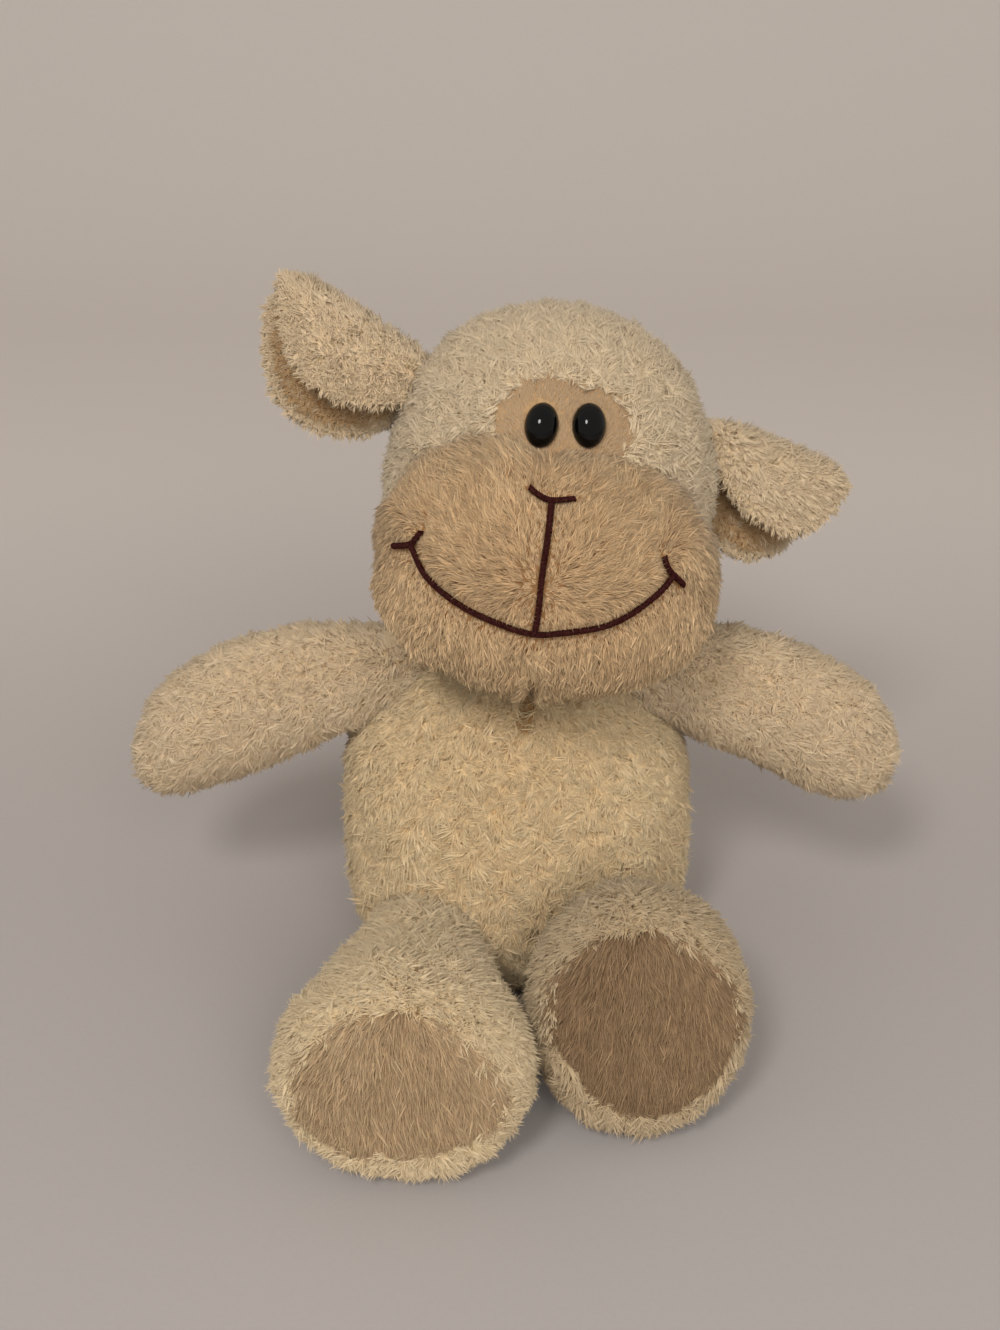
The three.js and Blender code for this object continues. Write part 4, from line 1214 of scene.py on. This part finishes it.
def smooth_line(points, steps=24):
    """A smooth curve through the points, with the same number of steps in every stretch."""
    padded = np.concatenate([2 * points[:1] - points[1:2], points, 2 * points[-1:] - points[-2:-1]])
    t = np.linspace(0, 1, steps, endpoint=False)[:, None]
    parts = [spline(*padded[place:place + 4], t) for place in range(len(points) - 1)]
    return np.concatenate([*parts, points[-1:]])


def nearest_distance(points, line):
    found = np.full(len(points), np.inf)
    for chunk in np.array_split(line, max(1, len(line) // 20)):
        gaps = np.linalg.norm(points[:, None, :] - chunk[None], axis=2)
        found = np.minimum(found, gaps.min(axis=1))
    return found


class SHEEP_OT_muzzle(SheepOperator):
    """Sew the muzzle, a broad pad of tan pile with a dart under the chin."""

    bl_idname = "sheep.muzzle"
    bl_label = "Muzzle"

    def make(self, sheep, pile):
        line = np.concatenate([points for points, _ in stitch_rows(sheep).values()])
        centre = np.array(sheep.muzzle_place.translation)
        turned = np.array(sheep.muzzle_place.to_3x3())

        def on_muzzle(points):
            return points_through(sheep.muzzle_place.inverted(), points).T

        def shaped(points):
            x, y, z = on_muzzle(points)
            dart = np.exp(-((x - DART_ASIDE) / 0.0016) ** 2) * share_past(-z, 0.019, 0.008) * (y < 0.01)
            pull = np.exp(-(nearest_distance(points, line) / STITCH_ROOM) ** 2)
            return points - unit(points - centre) * (0.0014 * dart + 0.0003 * pull)[:, None]

        skin = sheep.muzzle_skin().moved(shaped)
        cloth = padded_cloth("muzzle_cloth", skin, backing_material("Tan"), "head", ("muzzle_panel",))

        def keep(points, flat):
            return ~sheep.in_skull(points, -0.0045) & (nearest_distance(points, line) > STITCH_ROOM)

        def comb(points, flat):
            """Up and outward from the nose above the smile, and down below it."""
            x, _, z = on_muzzle(points)
            smile = 13.0 * (x - NOSE_ASIDE) ** 2 - 0.006
            above = share_past(z, smile, 0.006)
            out = np.clip((x - NOSE_ASIDE) / 0.012, -1, 1)
            up = np.clip((z - 0.004) / 0.012, -0.4, 1.4)
            beside = np.clip(1 - np.abs(x - DART_ASIDE) / 0.003, 0, 1) * (z < -0.018)
            aside = above * out + (1 - above) * (out * 0.12 + np.sign(x - DART_ASIDE) * beside * 1.2)
            return columns(aside, np.zeros(len(points)), above * up - (1 - above)) @ turned.T

        def shorten(points, flat):
            z = on_muzzle(points)[2]
            rim = 1 + 0.25 * share_past(z, 0.018, 0.008) - 0.2 * share_past(-z, 0.02, 0.008)
            return rim * np.clip(nearest_distance(points, line) / 0.006 - 0.05, 0, 1)

        def glow(points, flat):
            return 0.05 + 0.7 * np.clip((0.014 - on_muzzle(points)[2]) / 0.03, 0, 1)

        growth = Growth(
            pile.tan_long, lay=(44, 70), sway=14, swirl=30, swirl_size=0.012, dense=1.5, wide=0.78, spread=0.75,
            curl=0.14, gather=0.65, uneven=0.1,
        )
        grow_pile("muzzle_pile", skin, growth, comb, keep, pile_material("Tan"), "head", 4, shorten, glow)
        return cloth


class SHEEP_OT_embroidery(SheepOperator):
    """Sew the nose and the smile in satin stitch, each stitch a thread laid over the row."""

    bl_idname = "sheep.embroidery"
    bl_label = "Embroidery"

    def make(self, sheep, pile):
        rows = stitch_rows(sheep)
        made = []
        for name, node, parts in (
            ("nose_thread", "nose_stitching", ("nose_stroke", "nose_arms")),
            ("mouth_thread", "mouth_stitching", ("smile", "left_tick", "right_tick")),
        ):
            threads = [
                thread for part in parts
                for thread in satin_row(*rows[part], sheep.sizes.thread_wide, sheep.sizes.stitch_step)
            ]
            starts = np.cumsum([0] + [len(points) for points, _ in threads])
            faces = np.concatenate([corners + start for (_, corners), start in zip(threads, starts)])
            mesh = mesh_of(name, np.concatenate([points for points, _ in threads]), faces)
            piece = add_object(name, mesh, thread_material(), "head")
            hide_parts(node)
            made.append(piece)
        return made


def satin_row(line, outward, wide, step):
    """Threads laid side by side across a line, each arched over it and sunk at both ends."""
    lengths = np.concatenate([[0], np.cumsum(np.linalg.norm(np.diff(line, axis=0), axis=1))])
    spots = np.arange(step / 2, lengths[-1], step)
    centre = columns(*(np.interp(spots, lengths, line[:, k]) for k in range(3)))
    normal = unit(columns(*(np.interp(spots, lengths, outward[:, k]) for k in range(3))))
    ahead = unit(np.gradient(centre, axis=0))
    across = np.cross(ahead, normal)
    rng = np.random.default_rng(len(spots))
    arch = np.linspace(0, math.pi, 7)
    turned, arched = np.cos(arch)[:, None], np.sin(arch)[:, None]
    sides = np.linspace(0, 2 * math.pi, 6, endpoint=False)[None, :, None]
    thick, high, sunk = step * 0.62, 0.0008, 0.0006
    threads = []
    for place in range(len(spots)):
        breadth = wide / 2 * rng.uniform(0.92, 1.12)
        slant = step * rng.uniform(0.6, 1.4)
        path = (
            centre[place] + across[place] * turned * breadth + ahead[place] * turned * slant
            + normal[place] * (arched * high - sunk)
        )
        rise = unit(across[place] * turned + normal[place] * arched)
        ring = path[:, None] + rise[:, None] * np.cos(sides) * thick + ahead[place] * np.sin(sides) * thick
        threads.append(closed_tube(ring))
    return threads


def closed_tube(rings):
    """Points and faces of a tube through rings of points, closed at both ends."""
    points = np.concatenate([rings.reshape(-1, 3), rings[0].mean(axis=0)[None], rings[-1].mean(axis=0)[None]])
    return points, tube_faces(*rings.shape[:2])


class SHEEP_OT_eyes(PairOperator):
    """Fit the two oval eyes, each a polished dome with a thin rim."""

    bl_idname = "sheep.eyes"
    bl_label = "Eyes"

    def sew(self, sheep, pile, side, number):
        sizes, sign = sheep.sizes, 1 - 2 * number
        rise = EYE_RISE + sign * EYE_SLANT
        place = sheep.skull_place @ sheep.skull.front_frame(rise, sign * sizes.eye_between / 2)
        around = np.linspace(0, 2 * math.pi, EYE_POINTS, endpoint=False)
        across, upward = np.cos(around) * sizes.eye_wide / 2, np.sin(around) * sizes.eye_tall / 2
        rings = [
            columns(across * reach, upward * reach, np.full(EYE_POINTS, height * sizes.eye_high - EYE_SINK))
            for reach, height in EYE_OUTLINE
        ]
        points, faces = closed_tube(np.array(rings))
        points[-2] = (0, 0, sizes.eye_high - EYE_SINK)
        mesh = mesh_of(f"eye_{side}_dome", points_through(place, points), faces[:, ::-1])
        piece = add_object(f"eye_{side}_dome", mesh, eye_plastic(), "head")
        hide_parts(f"eye_{side}")
        return piece


class SHEEP_OT_ears(PairOperator):
    """Sew the two ears, each a folded leaf of cream pile with a tan lining."""

    bl_idname = "sheep.ears"
    bl_label = "Ears"

    def sew(self, sheep, pile, side, number):
        sizes = sheep.sizes
        body = f"ear_{side}"
        leaf = sheep.ear_skin(side, sheep.ear, inset=0.0012, toward=0.0, around=110, up=60)
        cloth = padded_cloth(f"ear_{side}_cloth", leaf, backing_material("Cream"), body, (f"ear_{side}_outer",))
        lining_form = Form(sizes.ear_wide - 0.008, 0.002, sizes.ear_tall - 0.008, EAR_SHARES)
        inner_face = sizes.ear_thick / 2 - 0.0006
        lining = sheep.ear_skin(side, lining_form, inset=0.0, toward=inner_face, around=90, up=50)
        padded_cloth(f"ear_{side}_lining_cloth", lining, backing_material("Tan"), body, (f"ear_{side}_lining",))
        tip = axis_of(sheep.ear_places[side], 2)

        def comb(points, flat):
            inner = sheep.ear_wrap(side, flat * (0.8, 1, 0.8))
            rim = sheep.ear_rim(flat)[:, None]
            return unit(points - inner) * (0.15 + rim) + tip * (1.1 - rim)

        def glow(points, flat):
            return 0.3 + 0.5 * sheep.ear_rim(flat)

        def shorten(points, flat):
            return 1 - 0.4 * sheep.ear_rim(flat)

        def outside(points, flat):
            return ~sheep.in_skull(points, -0.005) & (flat[:, 1] < 0.0012)

        def inside(points, flat):
            return ~sheep.in_skull(points, -0.005) & (flat[:, 1] > inner_face)

        growth = Growth(pile.ear_long, lay=(28, 56), sway=50, swirl=60, swirl_size=0.008, dense=1.15, spread=0.8)
        cream, tan = pile_material("Arm"), pile_material("Lining")
        grow_pile(f"ear_{side}_pile", leaf, growth, comb, outside, cream, body, 5 + number, shorten, glow)
        short = Growth(
            pile.lining_long, lay=(45, 68), sway=16, swirl=20, dense=1.6, per_tuft=0.75, wide=0.8, spread=0.7
        )
        grow_pile(f"ear_{side}_lining_pile", lining, short, comb, inside, tan, body, 7 + number, None, glow)
        return cloth


class SHEEP_OT_arms(PairOperator):
    """Sew the two arms, tapered at the shoulder and round at the paw."""

    bl_idname = "sheep.arms"
    bl_label = "Arms"

    def sew(self, sheep, pile, side, number):
        skin = sheep.arm.surface(inset=0.0023, around=100, up=90).through(sheep.arm_root(side))
        skin = skin.puffed(depth=0.0008, size=0.022, seed=41 + number)
        skin = skin.puffed(depth=0.0005, size=0.009, seed=43 + number)
        nodes = (f"arm_{side}_cover", f"arm_{side}_stuffing")
        cloth = padded_cloth(f"arm_{side}_cloth", skin, backing_material("Arm"), f"arm_{side}", nodes)

        def keep(points, flat):
            return ~sheep.in_torso(points, TUCKED) & ~sheep.in_skull(points, COVERED)

        growth = Growth(pile.arm_long, lay=(30, 58), sway=52, swirl=60, swirl_size=0.008)
        comb = along_comb(axis_of(sheep.arm_places[side], 2) + np.array((0, 0, -0.25)))
        grow_pile(f"arm_{side}_pile", skin, growth, comb, keep, pile_material("Arm"), f"arm_{side}", 9 + number)
        return cloth


def sole_share(sheep, side, flat):
    """How far points of a leg lie from the middle of its sole, by their flat places; 1 is the sole's edge."""
    tip, inside = sheep.legs[side].tall - sheep.sizes.hip_ball, 0.03
    reaches = SOLE_REACHES[side]
    azimuth = np.degrees(np.arctan2(flat[:, 1], flat[:, 0])) % 360
    polar = np.degrees(np.arctan2(np.hypot(flat[:, 0], flat[:, 1]), flat[:, 2] - tip + inside))
    return polar / np.interp(azimuth, np.linspace(0, 360, len(reaches) + 1), (*reaches, reaches[0]))


class SHEEP_OT_legs(PairOperator):
    """Sew the two legs with their broad feet."""

    bl_idname = "sheep.legs"
    bl_label = "Legs"

    def sew(self, sheep, pile, side, number):
        skin = sheep.leg_skin(side, PILE_ROOM, around=120, up=96)
        skin = skin.puffed(depth=0.0006, size=0.022, seed=61 + number)
        skin = skin.puffed(depth=0.0004, size=0.009, seed=63 + number).pressed(FLOOR_GAP)
        nodes = (f"leg_{side}_cover", f"leg_{side}_stuffing")
        cloth = padded_cloth(f"leg_{side}_cloth", skin, backing_material("Foot"), f"leg_{side}", nodes)

        def keep(points, flat):
            return ~sheep.in_torso(points, TUCKED) & (sole_share(sheep, side, flat) > 0.98)

        right, upward, forward = (axis_of(sheep.leg_places[side], column) for column in range(3))
        tip = sheep.legs[side].tall - sheep.sizes.hip_ball

        def comb(points, flat):
            """Along the leg, and outward round the sole."""
            wide, tall = flat[:, 0:1] / 0.024, flat[:, 1:2] / 0.024
            back = right * np.clip(wide * 1.2, -1, 1) * 0.5 - upward * 0.35 + forward * 0.6
            rim = right * wide + upward * np.where(tall > 0, -0.1, 1) * tall + forward * 0.5
            front = share_past(flat[:, 2:3], tip - 0.02, 0.01)
            return back * (1 - front) + rim * front

        growth = Growth(pile.cream_long, lay=(28, 54), sway=55, swirl=70, swirl_size=0.008, glow=0.5)
        dyed = pile_material("Foot" if side == "right" else "Shaded foot")
        grow_pile(f"leg_{side}_pile", skin, growth, comb, keep, dyed, f"leg_{side}", 11 + number)
        return cloth


class SHEEP_OT_soles(PairOperator):
    """Sew on the two oval soles, with pile combed down from the top of the foot."""

    bl_idname = "sheep.soles"
    bl_label = "Soles"

    def sew(self, sheep, pile, side, number):
        skin = sheep.leg_skin(side, inset=0.0023, around=220, up=200).pressed(FLOOR_GAP)
        front, pad = skin.patch(sole_share(sheep, side, skin.flat) < 1.03, PAD_THICK)
        cloth = padded_cloth(f"sole_{side}_cloth", pad, backing_material("Sole"), f"leg_{side}", (f"sole_{side}",))
        top = front.points[np.argmax(front.points[:, 2])]

        def comb(points, flat):
            fan = unit(points - top - np.array((0, 0, 0.008)))
            return fan * 0.8 + np.array((0, 0, -1.0))

        def shorten(points, flat):
            low = np.clip(-flat[:, 1] / 0.006, 0, 1)
            return 1 - 0.6 * low * share_past(sole_share(sheep, side, flat), 0.65, 0.35)

        growth = Growth(
            pile.sole_long, lay=(60, 80), sway=5, swirl=12, swirl_size=0.02, dense=1.65, wide=0.72, spread=0.6,
            curl=0.05, gather=0.55, uneven=0.05, glow=0.35,
        )
        dyed = pile_material("Sole" if side == "right" else "Shaded sole")
        grow_pile(f"sole_{side}_pile", front, growth, comb, everywhere, dyed, f"leg_{side}", 13 + number, shorten)
        return cloth


class SHEEP_OT_tail(SheepOperator):
    """Sew the short tail."""

    bl_idname = "sheep.tail"
    bl_label = "Tail"

    def make(self, sheep, pile):
        place = sheep.tail_place @ shift(0, 0, sheep.tail.tall / 2 - 0.006)
        skin = sheep.tail.surface(inset=0.0022, around=60, up=50).through(place)
        cloth = padded_cloth("tail_cloth", skin, backing_material("Cream"), "tail", ("tail",))

        def keep(points, flat):
            return ~sheep.in_torso(points, COVERED)

        comb = along_comb(axis_of(sheep.tail_place, 2))
        growth = Growth(pile.cream_long * 0.9, lay=(28, 62), sway=30, swirl=40, swirl_size=0.009, dense=1.2)
        grow_pile("tail_pile", skin, growth, comb, keep, pile_material("Cream"), "tail", 15)
        return cloth


def gathered_ball(place, radius, axis, pleats, seed):
    """A ball of gathered cloth: pleats run from pole to pole about an axis."""
    around, up, pleat_deep = 96, 40, 0.07
    tops, angles = np.pi * np.arange(1, up) / up, 2 * np.pi * np.arange(around) / around
    tops, angles = np.meshgrid(tops, angles, indexing="ij")
    fold = 1 - pleat_deep * (0.5 + 0.5 * np.cos(pleats * angles + 0.8 * np.sin(3 * angles + seed)))
    rings = columns(np.sin(tops) * np.cos(angles), np.sin(tops) * np.sin(angles), np.cos(tops))
    points, faces = closed_tube((rings * (radius * fold)[:, :, None])[::-1])
    upright = Vector((0, 0, 1)).rotation_difference(Vector(axis)).to_matrix().to_4x4()
    return Surface(points_through(Matrix.Translation(place) @ upright, points), faces)


class SHEEP_OT_gathers(SheepOperator):
    """Sew the gathered cloth at the neck, the shoulders and the hips."""

    bl_idname = "sheep.gathers"
    bl_label = "Gathers"

    def make(self, sheep, pile):
        sizes = sheep.sizes
        spots = [("neck", sheep.neck_pivot, sizes.neck_ball, (0, 0, 1))]
        for side in SIDES:
            arm, leg = sheep.arm_places[side], sheep.leg_places[side]
            spots.append((f"shoulder_{side}", arm.translation, sizes.shoulder_ball, axis_of(arm, 2)))
            spots.append((f"hip_{side}", leg.translation, sizes.hip_ball, axis_of(leg, 2)))
        # The gathers' cloth is the arms' root dye darkened as painted shade, so it sits in the pile's shade
        dark = knitted_material("Gathered backing in painted shade", blended(settings().sheep_dyes.pale_root, BLACK, 0.35))
        made = []
        for number, (name, place, radius, axis) in enumerate(spots):
            surface = gathered_ball(place, radius - GATHER_SINK, axis, pleats=18, seed=number)
            made.append(padded_cloth(f"{name}_gathered", surface, dark, name, (f"{name}_gather",)))
        return made


class SHEEP_OT_stage(SheepOperator):
    """Set up the floor, the lamps and the camera."""

    bl_idname = "sheep.stage"
    bl_label = "Stage"

    def make(self, sheep, pile):
        scene = settings()
        stage = scene.sheep_stage
        floor = self.backdrop(stage)
        aim = Vector((0, 0, 0.1))
        self.lamp("key_lamp", (-0.32, -0.85, 1.12), aim, 0.3, stage.key_power)
        self.lamp("fill_lamp", (0.3, -1.3, 0.95), aim, 1.0, stage.fill_power)
        world = bpy.data.worlds.new("Soft surroundings")
        world.use_nodes = True
        light = {"Color": four(stage.world_dye), "Strength": stage.world_level}
        feed(world.node_tree, world.node_tree.nodes["Background"], light)
        scene.world = world
        back = Vector((0, -math.cos(stage.elevation), math.sin(stage.elevation)))
        eye = Vector(stage.aim) + back * stage.distance
        camera = self.placed("camera", bpy.data.cameras.new("camera"), eye, stage.aim)
        camera.data.lens = stage.lens
        camera.data.sensor_width = 36
        camera.data.clip_start = 0.01
        scene.camera = camera
        scene.view_settings.view_transform = "Standard"
        return floor

    def placed(self, name, data, place, aim):
        """A camera or lamp that stands at a place and looks at its aim."""
        thing = bpy.data.objects.new(name, data)
        thing.location = place
        thing.rotation_euler = (Vector(aim) - thing.location).to_track_quat("-Z", "Y").to_euler()
        bpy.context.scene.collection.objects.link(thing)
        return thing

    def lamp(self, name, place, aim, size, power):
        lamp = self.placed(name, bpy.data.lights.new(name, "AREA"), place, aim)
        lamp.data.shape = "DISK"
        lamp.data.size = size
        lamp.data.energy = power
        lamp.visible_glossy = name == "key_lamp"

    def backdrop(self, stage):
        """A floor that turns up into a wall in one wide curve."""
        wide, front, wall, radius = 4.0, -2.0, 1.1, 0.5
        angles = [math.radians(90 * step / 12) for step in range(13)]
        curve = [(wall - radius + math.sin(angle) * radius, radius - math.cos(angle) * radius) for angle in angles]
        profile = [(front, 0.0), *curve, (wall, 2.4)]
        points = [(x, y, z) for y, z in profile for x in (-wide / 2, wide / 2)]
        faces = [(2 * k, 2 * k + 1, 2 * k + 3, 2 * k + 2) for k in range(len(profile) - 1)]
        mesh = bpy.data.meshes.new("floor")
        mesh.from_pydata(points, [], faces)
        mesh.polygons.foreach_set("use_smooth", [True] * len(faces))

        def paint(tree):
            place = object_place(tree)
            grain = ramp(tree, noise(tree, place, 700.0, 3.0), 0.2, 0.8)
            apart = tree.nodes.new("ShaderNodeSeparateXYZ")
            feed(tree, apart, {"Vector": place})
            behind = ramp(tree, apart.outputs["Y"], 0.0, 0.4)
            plain = mix_colours(tree, behind, four(stage.floor_dye), four(stage.wall_dye))
            return {"Base Color": mix_colours(tree, maths(tree, "MULTIPLY", grain, 0.03), plain, four(BLACK))}

        material = material_of("Floor", paint, {"Roughness": 0.7, "Specular IOR Level": 0.2})
        return add_object("floor", mesh, material, None)


class SHEEP_PT_workshop(bpy.types.Panel):
    """Lists the steps that sew the sheep."""

    bl_idname = "SHEEP_PT_workshop"
    bl_label = "Plush sheep"
    bl_space_type = "VIEW_3D"
    bl_region_type = "UI"
    bl_category = "Sheep"

    def draw(self, context):
        for step in STEPS:
            self.layout.operator(step.bl_idname)
        scene = context.scene
        for group in (scene.sheep_sizes, scene.sheep_pile, scene.sheep_dyes, scene.sheep_stage):
            box = self.layout.box()
            for name in group.__annotations__:
                box.prop(group, name)


STEPS = (
    SHEEP_OT_torso,
    SHEEP_OT_gathers,
    SHEEP_OT_head,
    SHEEP_OT_face_patch,
    SHEEP_OT_muzzle,
    SHEEP_OT_embroidery,
    SHEEP_OT_eyes,
    SHEEP_OT_ears,
    SHEEP_OT_arms,
    SHEEP_OT_legs,
    SHEEP_OT_soles,
    SHEEP_OT_tail,
    SHEEP_OT_stage,
)
GROUPS = {
    "sheep_sizes": SheepSizes,
    "sheep_pile": SheepPile,
    "sheep_dyes": SheepDyes,
    "sheep_stage": SheepStage,
}


def register():
    for kind in (*GROUPS.values(), *STEPS, SHEEP_PT_workshop):
        bpy.utils.register_class(kind)
    for name, kind in GROUPS.items():
        setattr(bpy.types.Scene, name, PointerProperty(type=kind))


def unregister():
    for name in GROUPS:
        delattr(bpy.types.Scene, name)
    for kind in reversed((*GROUPS.values(), *STEPS, SHEEP_PT_workshop)):
        bpy.utils.unregister_class(kind)


def main():
    register()
    for step in STEPS:
        group, name = step.bl_idname.split(".")
        getattr(getattr(bpy.ops, group), name)()


if __name__ == "__main__":
    main()
